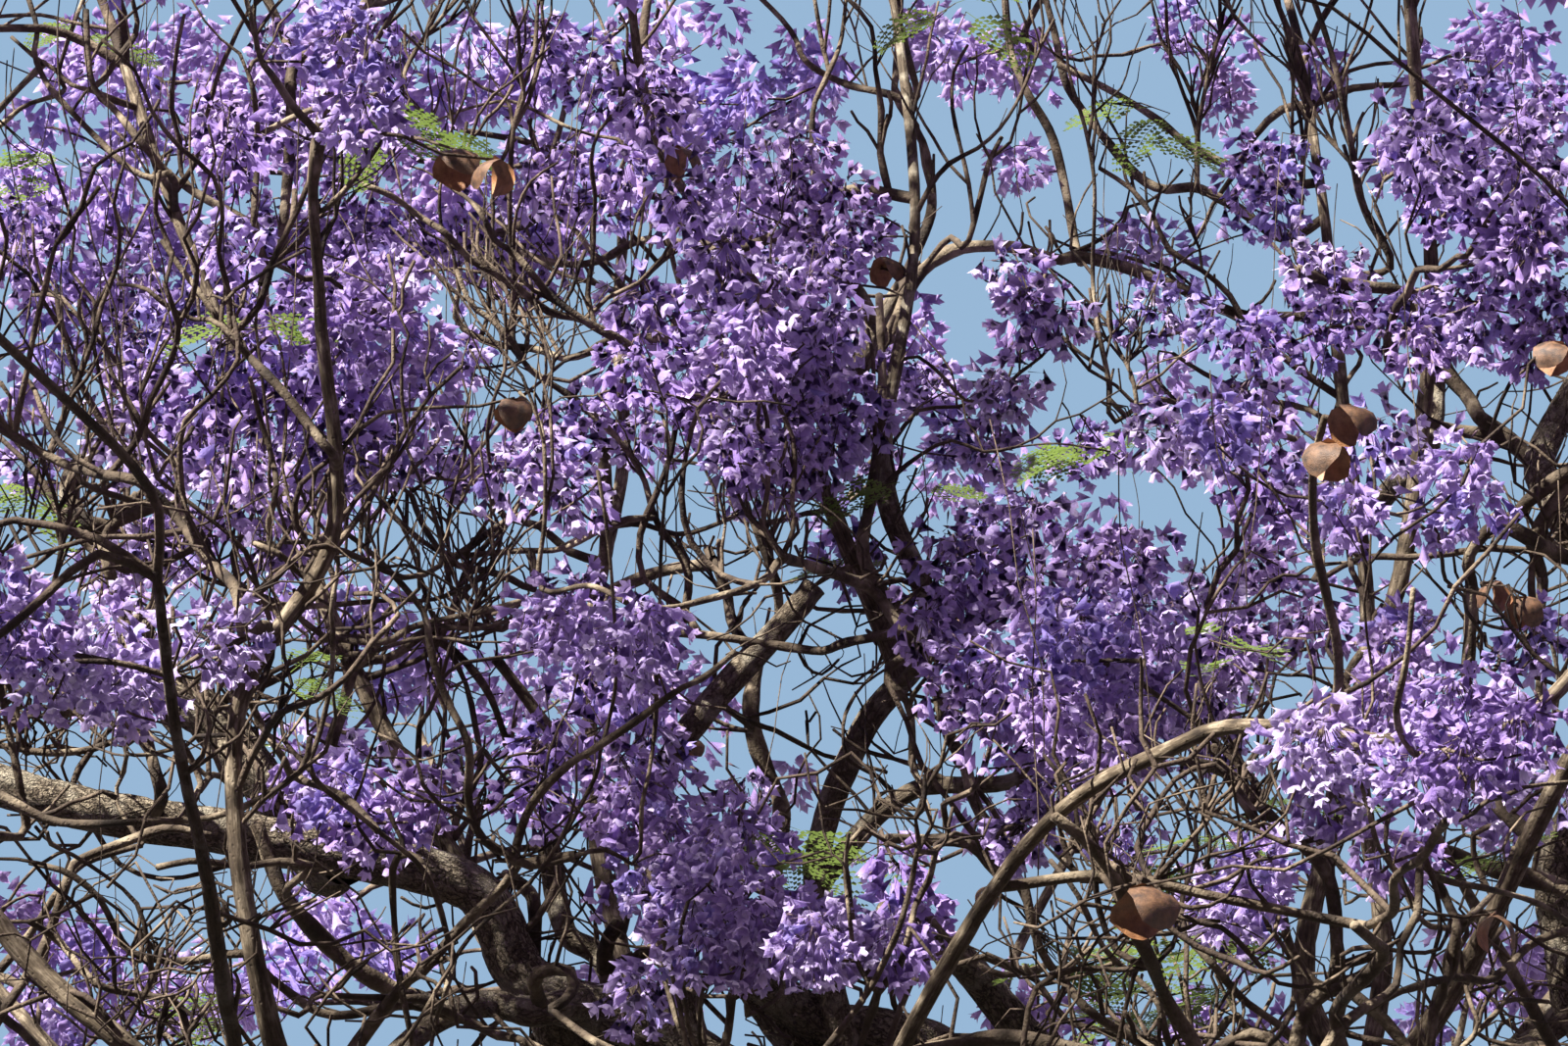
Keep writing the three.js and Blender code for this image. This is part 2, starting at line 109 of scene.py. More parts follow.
SIDE_LIMBS = [
    dict(origin="bough_front_left", at=0.28, to=("lower", 0),
         by=[(0.09, -1.9, 3.64), (0.44, -2.66, 4.09), (0.72, -3.02, 4.19), (0.87, -3.23, 4.15),
             (1.07, -3.36, 4.08), (1.28, -3.52, 4.08)],
         end=(1.47, -3.76, 4.28)),
    dict(origin="bough_front_left", at=0.56, to=("middle", 0),
         by=[(-0.97, -2.45, 3.79), (-1.045, -2.66, 4.35), (-0.86, -2.8, 4.69), (-0.88, -2.99, 5.07),
             (-0.87, -3.24, 5.3), (-0.76, -3.35, 5.56), (-0.5, -3.33, 5.76)]),
    dict(origin="bough_front_left", at=0.38, to=("middle", 8),
         by=[(-0.88, -1.46, 3.66), (-1.33, -1.74, 3.95), (-1.64, -1.77, 4.23), (-1.93, -1.9, 4.68)]),
    dict(origin="bough_front_right", at=0.42, to=("middle", 1)),
    dict(origin="bough_right", at=0.42, to=("lower", 2)),
    dict(origin="bough_right", at=0.34, to=("lower", 4)),
    dict(origin="bough_back", at=0.38, to=("lower", 6)),
    dict(origin="bough_back", at=0.5, to=("middle", 4)),
    dict(origin="bough_left", at=0.36, to=("lower", 7)),
    dict(origin="bough_left", at=0.44, to=("lower", 9)),
    dict(origin="bough_left", at=0.3, to=("middle", 6)),
    dict(origin="bough_arching_left", at=0.26, to=("upper", 4), girth=0.8),
    dict(origin="bough_centre", at=0.3, to=("upper", 0), girth=0.8),
    dict(origin="bough_rising_right", at=0.36, to=("upper", 1),
         by=[(1.3, 0.03, 4.62), (1.37, 0.0, 4.97), (1.47, -0.02, 5.35), (1.59, -0.02, 5.68),
             (1.65, -0.1, 6.03), (1.68, -0.26, 6.4), (1.62, -0.56, 6.9)]),
    dict(origin="bough_back_right", at=0.5, to=("upper", 2)),
    dict(origin="bough_upper_back", at=0.34, to=("upper", 3)),
]

# Inner limbs in the photograph: depth at foot and tip, width there in pixels, and the way in pixels
INNER_LIMBS = [
    # thick boughs
    (10.9, 10.7, 62, 44, [(957, 1075), (895, 1052), (853, 1047), (803, 1022), (770, 989), (737, 955)]),
    (10.9, 10.5, 44, 34, [(1065, 1085), (1031, 1039), (990, 989), (948, 952), (905, 930)]),
    (11.0, 11.2, 28, 24, [(640, 1045), (625, 1000), (608, 972), (582, 957), (572, 935), (565, 900),
     (558, 850)]),
    (10.9, 11.2, 22, 17, [(783, 990), (787, 900), (795, 848), (797, 820), (785, 793), (773, 762),
     (766, 728), (769, 695), (773, 664)]),
    (11.2, 11.3, 12, 8, [(773, 668), (786, 648), (795, 625), (791, 592), (781, 566), (770, 535)]),
    (11.2, 11.4, 13, 9, [(773, 668), (757, 652), (746, 632), (742, 605), (733, 583), (722, 560)]),
    (10.8, 10.6, 26, 15, [(835, 905), (858, 875), (889, 838), (929, 808), (961, 801), (1028, 798),
     (1090, 770)]),
    (10.9, 11.1, 58, 46, [(335, 890), (300, 850), (270, 800), (230, 750), (190, 715), (150, 700)]),
    (11.0, 10.9, 70, 58, [(590, 1110), (578, 1065), (560, 1015)]),
    (10.6, 10.3, 36, 26, [(585, 1022), (545, 1032), (505, 1024), (470, 1030), (440, 1045), (400, 1080)]),
    (11.2, 11.6, 42, 28, [(1660, 640), (1612, 560), (1588, 515), (1571, 478), (1583, 440), (1612, 390),
     (1650, 330)]),
    (11.3, 11.5, 60, 46, [(1660, 1100), (1612, 1030), (1600, 960), (1590, 910), (1602, 850), (1650, 790)]),
    (11.8, 12.0, 24, 18, [(120, 610), (110, 560), (88, 543), (72, 520), (70, 490), (85, 470), (110, 458),
     (148, 461)]),
    (11.8, 12.1, 24, 22, [(1452, 480), (1460, 447), (1464, 405), (1460, 360), (1440, 300)]),
    (11.0, 11.0, 22, 17, [(1592, 905), (1545, 892), (1510, 882), (1478, 870), (1440, 862)]),
    # the middle
    (10.5, 10.9, 13, 8, [(921, 648), (881, 652), (858, 657), (840, 664), (810, 661), (770, 655), (730, 649),
     (691, 646), (640, 652)]),
    (10.7, 11.0, 19, 8, [(945, 665), (924, 632), (897, 600), (880, 560), (890, 500), (900, 400), (897, 300)]),
    (10.6, 10.2, 14, 10, [(893, 604), (870, 592), (840, 582), (815, 573), (798, 568)]),
    (10.2, 10.0, 10, 6, [(798, 570), (782, 590), (752, 603), (715, 613), (685, 620), (645, 618)]),
    (10.7, 10.3, 13, 11, [(950, 690), (967, 747), (985, 780), (993, 814), (1015, 844), (1066, 828),
     (1125, 798)]),
    (10.6, 10.6, 11, 7, [(903, 686), (917, 705), (928, 722), (931, 752), (931, 780), (938, 797)]),
    (10.6, 10.5, 6, 4, [(927, 722), (935, 705), (946, 690)]),
    (10.9, 11.1, 7, 4, [(775, 740), (785, 742), (810, 755), (840, 770), (862, 775), (880, 780), (905, 788)]),
    (10.9, 11.1, 6, 4, [(768, 745), (745, 741), (725, 732)]),
    (11.6, 11.6, 15, 12, [(600, 610), (617, 573), (617, 473), (610, 430)]),
    (10.9, 10.9, 9, 6, [(703, 590), (690, 560), (669, 530), (656, 486), (634, 452), (610, 425)]),
    (10.3, 10.3, 6, 4, [(552, 600), (556, 530), (556, 473), (551, 430), (530, 400)]),
    (9.5, 9.3, 5, 4, [(604, 800), (613, 765), (620, 740), (628, 700), (628, 650), (625, 600), (620, 545),
     (610, 480)]),
    (9.5, 9.3, 5, 4, [(650, 880), (655, 820), (662, 790), (669, 735), (670, 680), (673, 620), (675, 550),
     (682, 470)]),
    # left of the middle
    (10.8, 10.9, 8, 5, [(640, 530), (612, 541), (573, 560), (525, 562), (465, 567), (440, 558), (405, 530),
     (380, 500)]),
    (10.8, 11.0, 9, 6, [(468, 566), (512, 534), (547, 521), (573, 495), (585, 470)]),
    (10.8, 10.7, 9, 6, [(545, 600), (520, 590), (495, 582), (460, 573), (432, 536), (420, 505)]),
    (10.9, 10.9, 7, 5, [(575, 558), (612, 541), (651, 534), (690, 545), (720, 539), (765, 520)]),
    (10.7, 10.9, 15, 9, [(335, 785), (340, 751), (352, 718), (357, 692), (369, 676), (398, 671), (418, 657),
     (440, 640)]),
    (10.9, 11.0, 10, 7, [(430, 645), (450, 655), (473, 673), (499, 708), (517, 756)]),
    (10.6, 10.4, 9, 6, [(330, 652), (345, 652), (373, 655), (397, 654), (420, 640), (460, 630), (500, 622),
     (535, 612)]),
    (10.6, 10.6, 7, 4, [(300, 625), (313, 619), (340, 617), (400, 612), (440, 612), (480, 597), (504, 582)]),
    (10.5, 10.4, 6, 4, [(330, 672), (345, 668), (380, 665), (410, 655), (440, 650), (480, 655)]),
    (11.0, 11.1, 15, 12, [(590, 775), (560, 743), (534, 708), (506, 672)]),
    (9.7, 9.5, 17, 11, [(355, 1080), (412, 1004), (433, 989), (469, 947), (512, 905), (530, 880)]),
    (9.5, 9.2, 11, 6, [(530, 882), (532, 845), (550, 810), (580, 780), (600, 768), (620, 755), (650, 735),
     (690, 705), (720, 690), (750, 665)]),
    (9.5, 9.4, 11, 6, [(530, 880), (520, 871), (503, 864), (487, 848), (478, 815), (478, 760), (455, 712),
     (440, 665), (434, 628), (417, 604), (395, 580), (372, 558), (352, 543)]),
    (9.0, 9.0, 7, 5, [(318, 790), (326, 750), (337, 700), (340, 650), (338, 620), (345, 580), (342, 545)]),
    # low in the middle
    (10.8, 10.8, 16, 13, [(545, 1000), (546, 950), (545, 920), (535, 905), (515, 892)]),
    (10.9, 10.9, 17, 12, [(618, 988), (635, 988), (652, 975), (685, 958), (705, 940)]),
    (10.4, 10.3, 15, 13, [(545, 998), (565, 988), (583, 992), (586, 1006), (575, 1022), (562, 1030)]),
    (10.9, 10.8, 16, 18, [(618, 990), (620, 960), (632, 940)]),
    (9.9, 9.9, 9, 6, [(703, 1085), (690, 1040), (680, 1000), (675, 970), (665, 945), (668, 900)]),
    (9.9, 9.8, 10, 6, [(716, 1085), (713, 1020), (722, 1003), (740, 995), (755, 983), (790, 960)]),
    (9.9, 9.9, 9, 7, [(735, 1085), (747, 1020), (751, 985), (752, 930)]),
    (9.4, 9.2, 11, 6, [(872, 1085), (885, 1045), (896, 1014), (882, 990), (870, 940), (865, 900),
     (863, 868), (880, 845)]),
    (9.4, 9.2, 9, 6, [(896, 1012), (915, 990), (926, 960), (935, 920), (947, 900), (955, 870)]),
    (9.5, 9.5, 9, 6, [(897, 1085), (925, 1012), (935, 1000), (965, 988), (1005, 975)]),
    (10.3, 10.2, 15, 11, [(1027, 893), (988, 860), (940, 857), (905, 855)]),
    # low at the left
    (9.0, 8.8, 11, 6, [(-20, 800), (0, 811), (52, 837), (104, 840), (156, 837), (209, 835), (261, 817),
     (308, 785), (316, 752)]),
    (9.9, 10.0, 13, 9, [(40, 975), (68, 900), (78, 879), (130, 858), (172, 845), (215, 853)]),
    (10.0, 10.1, 10, 7, [(-20, 1010), (0, 989), (31, 952), (63, 905), (89, 879), (145, 862)]),
    (10.6, 10.4, 21, 16, [(440, 1025), (402, 1010), (365, 989), (334, 963), (292, 916), (276, 879),
     (262, 840)]),
    (9.8, 9.7, 11, 8, [(470, 1040), (417, 1025), (339, 1036), (292, 1010), (261, 978), (250, 930)]),
    (10.2, 10.1, 10, 7, [(318, 884), (282, 879), (250, 884), (200, 878), (160, 885)]),
    (9.7, 9.7, 9, 6, [(250, 973), (219, 976), (183, 981), (136, 973), (120, 952), (100, 915), (68, 890),
     (30, 880)]),
    (9.8, 9.8, 10, 7, [(203, 1085), (183, 1025), (146, 1015), (99, 1004), (60, 960), (30, 940)]),
    (9.4, 9.3, 9, 7, [(300, 792), (290, 775), (270, 745), (255, 715), (250, 690)]),
    (9.4, 9.3, 10, 8, [(25, 850), (20, 800), (10, 750), (0, 700), (-10, 660)]),
    (9.0, 8.9, 8, 6, [(205, 800), (195, 775), (178, 745), (160, 718), (140, 690)]),
    (10.9, 10.9, 52, 40, [(860, 1110), (815, 1065), (780, 1020), (755, 975), (735, 935)]),
    (9.6, 9.6, 10, 8, [(738, 1090), (742, 1060), (747, 1020), (750, 985), (746, 950)]),
    (9.5, 9.5, 6, 5, [(704, 1075), (692, 1018), (679, 967), (674, 940)]),
    (9.5, 9.4, 5, 4, [(706, 1060), (697, 999), (694, 955), (702, 920)]),
    (9.6, 9.5, 6, 4, [(718, 1080), (715, 1018), (722, 981), (740, 940)]),
    (9.1, 9.0, 9, 6, [(835, 1090), (862, 1045), (888, 1008), (905, 975), (918, 945), (930, 900), (936, 865)]),
    (9.1, 9.0, 6, 4, [(886, 1010), (872, 975), (867, 935), (862, 890), (866, 850)]),
    (10.6, 10.6, 14, 15, [(138, 457), (100, 466), (78, 482), (74, 512), (92, 534), (112, 542)]),
    (10.6, 10.6, 13, 10, [(112, 542), (124, 524), (140, 505)]),
    (10.6, 10.4, 13, 11, [(108, 540), (110, 575), (121, 613), (132, 650), (140, 700)]),
    (9.4, 9.4, 8, 6, [(402, 880), (403, 950), (408, 1000), (418, 1050), (422, 1080)]),
    (9.6, 9.6, 6, 5, [(462, 975), (455, 1010), (445, 1040), (438, 1080)]),
    (10.3, 10.2, 12, 9, [(470, 1038), (505, 1055), (530, 1060), (560, 1075)]),
    (10.4, 10.4, 15, 13, [(165, 815), (158, 785), (150, 755), (140, 722)]),
    (10.2, 10.2, 6, 5, [(118, 815), (129, 780), (126, 752)]),
    (10.0, 10.0, 5, 4, [(132, 770), (150, 770), (185, 762)]),
    (10.6, 10.6, 9, 7, [(-15, 760), (45, 768), (90, 765), (125, 752)]),
    (9.2, 9.2, 7, 6, [(250, 818), (238, 800), (222, 782), (218, 755), (212, 730)]),
    # the left
    (8.1, 8.6, 13, 9, [(250, 650), (240, 600), (215, 575), (200, 555), (185, 535), (165, 510), (140, 490),
     (110, 485), (70, 475), (30, 455), (-20, 425)]),
    (8.3, 8.3, 8, 6, [(320, 605), (300, 580), (285, 565), (260, 554)]),
    (8.7, 8.7, 7, 5, [(172, 517), (181, 490), (180, 470), (165, 455), (150, 440), (135, 415), (122, 392)]),
    (8.4, 8.4, 7, 5, [(280, 565), (273, 540), (282, 500), (277, 465), (265, 425), (255, 385)]),
    (8.2, 8.4, 12, 6, [(343, 467), (325, 447), (305, 420), (285, 395), (265, 375), (243, 352), (225, 330),
     (205, 300), (183, 272), (165, 245)]),
    (8.3, 8.3, 5, 4, [(225, 330), (232, 303), (250, 290), (290, 266), (312, 255)]),
    (8.3, 8.4, 6, 4, [(222, 329), (195, 325), (170, 312), (148, 294), (120, 290)]),
    (11.7, 11.6, 12, 11, [(112, 550), (118, 530), (124, 515), (144, 506)]),
    # upper left
    (8.1, 7.7, 11, 5, [(326, 142), (300, 110), (280, 80), (266, 60), (258, 25), (250, -5)]),
    (8.1, 7.9, 8, 4, [(326, 142), (345, 112), (365, 75), (385, 40), (412, -5)]),
    (8.2, 8.0, 8, 4, [(325, 216), (350, 196), (375, 165), (394, 136)]),
    (11.3, 11.6, 11, 6, [(270, 300), (266, 240), (245, 222), (205, 200), (170, 175), (140, 140), (115, 110),
     (98, 94), (90, 62), (88, 10)]),
    (11.6, 11.7, 8, 5, [(98, 94), (106, 80), (122, 57), (140, 30), (134, -5)]),
    (11.6, 11.8, 6, 4, [(98, 94), (72, 86), (55, 70), (38, 60), (12, 38)]),
    (11.4, 11.8, 8, 5, [(176, 178), (155, 182), (130, 170), (100, 142), (60, 100), (45, 80), (35, 55),
     (38, 30), (28, -5)]),
    (12.0, 12.2, 7, 4, [(-20, 135), (0, 128), (25, 108), (55, 98), (66, 90), (60, 75), (70, 40), (86, -5)]),
    (11.2, 11.2, 8, 5, [(262, 236), (259, 220), (263, 150), (259, 95), (253, 70), (268, 57)]),
    (11.4, 11.6, 11, 8, [(286, 260), (290, 220), (293, 180), (296, 152), (320, 130), (345, 112), (368, 100)]),
    (11.5, 11.8, 12, 9, [(296, 152), (297, 85), (297, 60), (285, 25), (268, -10)]),
    (11.6, 11.7, 11, 8, [(298, 74), (325, 40), (350, 15), (388, 3), (430, -12)]),
    (11.0, 11.2, 7, 4, [(405, 90), (413, 72), (430, 42), (445, 25), (468, -5)]),
    # upper middle
    (10.6, 10.4, 11, 6, [(700, 405), (665, 380), (645, 355), (610, 335), (590, 325), (560, 318), (530, 295),
     (500, 275), (480, 265), (455, 238), (430, 222), (400, 200), (370, 188)]),
    (10.5, 10.4, 9, 5, [(595, 326), (560, 300), (540, 275), (520, 255), (505, 245), (495, 225), (480, 205),
     (455, 188)]),
    (11.6, 11.8, 12, 8, [(740, 258), (720, 250), (690, 248), (665, 244), (640, 250), (615, 265), (585, 270),
     (555, 266), (525, 255)]),
    (10.8, 10.9, 11, 6, [(690, 350), (650, 345), (620, 347), (600, 360), (575, 366), (560, 360), (540, 355),
     (510, 352), (480, 340), (465, 325), (468, 295)]),
    (10.9, 10.8, 8, 5, [(590, 410), (560, 390), (545, 380), (535, 370), (520, 345), (500, 325), (480, 310),
     (466, 275)]),
    (11.6, 11.8, 7, 5, [(642, 298), (625, 280), (610, 265), (600, 252), (590, 238), (575, 225), (555, 215)]),
    (10.9, 10.8, 7, 4, [(695, 300), (690, 280), (682, 240), (680, 190), (678, 160), (670, 120), (663, 92)]),
    (10.8, 10.7, 5, 4, [(680, 188), (686, 150), (675, 105)]),
    (12.6, 12.8, 10, 8, [(672, 115), (657, 45), (661, 0), (663, -20)]),
    (12.2, 12.4, 9, 6, [(935, 102), (900, 94), (870, 88), (840, 75), (820, 60), (812, 40), (798, 20),
     (770, -8)]),
    (11.6, 11.8, 8, 4, [(832, 245), (830, 160), (830, 110), (845, 75), (840, 50), (830, -8)]),
    (11.7, 11.8, 6, 4, [(845, 75), (858, 42), (864, -8)]),
    (11.4, 11.5, 5, 3, [(640, 150), (605, 138), (580, 130), (550, 115), (520, 103), (480, 110), (440, 125)]),
    # between the middle and the right
    (12.0, 12.4, 16, 11, [(905, 345), (932, 287), (971, 256), (1015, 251), (1042, 254), (1081, 265),
     (1103, 262), (1158, 276), (1214, 298), (1247, 315), (1290, 323), (1400, 320)]),
    (12.2, 12.6, 12, 7, [(915, 298), (943, 238), (951, 204), (943, 149), (915, 100), (915, 66), (920, -20)]),
    (11.9, 12.3, 26, 13, [(878, 372), (888, 345), (915, 298), (935, 270)]),
    (12.4, 12.8, 10, 7, [(1100, 262), (1087, 193), (1073, 138), (1048, 94), (1031, 50), (1024, -20)]),
    (12.6, 13.0, 11, 7, [(1300, 240), (1269, 216), (1247, 204), (1219, 191), (1186, 193), (1158, 177),
     (1125, 138), (1103, 110), (1087, 83), (1076, 33), (1062, -20)]),
    (12.6, 12.8, 10, 7, [(1310, 190), (1291, 182), (1247, 166), (1214, 149), (1181, 122), (1136, 94),
     (1080, 66)]),
    (12.2, 12.0, 10, 6, [(1420, 270), (1391, 210), (1380, 155), (1366, 83), (1352, 33), (1333, -20)]),
    (11.8, 11.9, 7, 4, [(1136, 430), (1131, 387), (1120, 332), (1115, 280), (1117, 193), (1109, 138),
     (1095, 90)]),
    (11.8, 11.9, 6, 4, [(1158, 430), (1156, 387), (1136, 343), (1131, 290)]),
    (11.9, 12.1, 7, 5, [(985, 252), (998, 210), (1009, 166), (1022, 140)]),
    (12.4, 12.4, 6, 4, [(1222, 190), (1222, 138), (1203, 83), (1192, 44), (1190, 10)]),
    (12.4, 12.4, 6, 4, [(1222, 140), (1228, 100), (1241, 44), (1260, 10)]),
    (12.3, 12.3, 6, 4, [(1330, 290), (1330, 166), (1335, 94), (1322, 40)]),
    (11.8, 11.7, 17, 13, [(1430, 300), (1400, 293), (1357, 287), (1324, 276)]),
    # the right
    (11.2, 11.0, 20, 18, [(1625, 572), (1592, 566), (1557, 547), (1523, 528)]),
    (11.0, 11.2, 17, 13, [(1610, 478), (1565, 506), (1544, 528), (1519, 540), (1498, 570), (1502, 599),
     (1500, 650), (1496, 705)]),
    (11.1, 11.3, 13, 12, [(1562, 545), (1574, 591), (1570, 633), (1573, 690), (1568, 745)]),
    (11.5, 11.7, 17, 14, [(1570, 476), (1530, 440), (1510, 426), (1498, 405), (1477, 380), (1462, 340)]),
    (11.6, 11.6, 15, 12, [(1540, 452), (1519, 443), (1485, 439), (1450, 428)]),
    (10.9, 10.9, 6, 4, [(1580, 765), (1588, 720), (1590, 690), (1580, 640), (1570, 590)]),
    (10.6, 10.6, 5, 4, [(1602, 704), (1570, 692), (1540, 684)]),
    (7.6, 7.1, 14, 7, [(1364, 760), (1366, 700), (1363, 648), (1343, 560), (1340, 480), (1352, 425)]),
    (8.2, 7.4, 13, 9, [(1378, 942), (1400, 942), (1422, 928), (1422, 900), (1432, 887), (1452, 874),
     (1466, 850), (1476, 836)]),
    (7.4, 7.0, 10, 6, [(1476, 836), (1468, 825), (1460, 800), (1452, 778), (1440, 765), (1428, 745),
     (1425, 720), (1430, 700), (1437, 660), (1442, 600)]),
    (7.4, 7.5, 7, 4, [(1476, 837), (1500, 832), (1515, 818), (1535, 812), (1560, 802), (1612, 797)]),
    (9.6, 9.5, 16, 14, [(1366, 715), (1372, 700), (1380, 682), (1397, 660)]),
    # low at the right
    (9.0, 8.8, 18, 11, [(1322, 1090), (1332, 1031), (1358, 1006), (1364, 960), (1357, 899), (1338, 872),
     (1308, 844), (1275, 811), (1245, 785), (1204, 776)]),
    (8.4, 8.0, 22, 11, [(1224, 1090), (1190, 1020), (1172, 975), (1155, 945), (1140, 900), (1110, 860),
     (1075, 832)]),
    (9.0, 9.0, 14, 9, [(1210, 1085), (1148, 1054), (1110, 1030), (1085, 1000), (1068, 980), (1055, 950),
     (1045, 900)]),
    (8.9, 8.8, 11, 7, [(1415, 972), (1357, 1010), (1319, 971), (1308, 927), (1291, 855), (1258, 805),
     (1238, 760)]),
    (9.2, 9.1, 11, 7, [(1345, 1085), (1308, 1048), (1269, 1020), (1236, 982), (1215, 960)]),
    (9.2, 9.2, 7, 6, [(1145, 1057), (1110, 1048), (1090, 1042), (1075, 1025), (1060, 1003), (1045, 985)]),
    (9.6, 9.6, 9, 9, [(1262, 1036), (1248, 1050), (1232, 1062)]),
    (9.8, 9.8, 5, 4, [(1210, 1040), (1205, 1000), (1196, 975), (1184, 948)]),
    (9.6, 9.6, 9, 6, [(1066, 985), (1040, 993), (1015, 993), (985, 975), (965, 955), (940, 925)]),
    (9.0, 8.9, 9, 6, [(1203, 1085), (1180, 1020), (1150, 990), (1125, 965), (1098, 910), (1072, 878)]),
    (8.4, 8.0, 17, 12, [(1366, 1090), (1362, 1040), (1370, 1020), (1386, 1004), (1405, 985), (1412, 970),
     (1404, 962), (1382, 944)]),
    (8.4, 8.6, 12, 8, [(1364, 1052), (1390, 1030), (1415, 1015), (1426, 1000), (1430, 960), (1440, 945),
     (1447, 930)]),
    (8.8, 8.9, 12, 8, [(1453, 1085), (1465, 1020), (1476, 1000), (1484, 985), (1486, 960), (1486, 940),
     (1479, 925), (1468, 900), (1452, 880)]),
    (8.8, 8.7, 9, 8, [(1476, 1000), (1440, 1008), (1418, 1016), (1392, 1032)]),
    (8.9, 9.2, 8, 5, [(1486, 942), (1500, 935), (1520, 915), (1532, 898), (1545, 865)]),
    (8.9, 8.8, 7, 6, [(1503, 940), (1478, 947), (1460, 945), (1448, 935), (1436, 915)]),
    (8.6, 9.2, 8, 6, [(1450, 868), (1456, 886), (1475, 898), (1510, 905), (1540, 912), (1570, 922),
     (1612, 948)]),
    (9.2, 9.6, 10, 7, [(1476, 992), (1500, 998), (1520, 1000), (1540, 985), (1560, 965), (1580, 955),
     (1615, 945)]),
    (9.6, 9.8, 8, 6, [(1478, 1085), (1500, 1010), (1515, 970), (1534, 945)]),
    (9.3, 9.5, 7, 5, [(1470, 1085), (1508, 1052), (1525, 1035), (1541, 1020), (1580, 1022)]),
    (9.3, 9.4, 6, 4, [(1508, 1052), (1500, 1022), (1495, 1005), (1490, 970)]),
    (8.6, 8.5, 7, 4, [(1428, 895), (1410, 870), (1402, 850), (1395, 820), (1384, 785)]),
    (10.6, 10.1, 15, 9, [(1600, 1095), (1570, 1040), (1540, 985), (1500, 915), (1465, 850), (1440, 800)]),
]

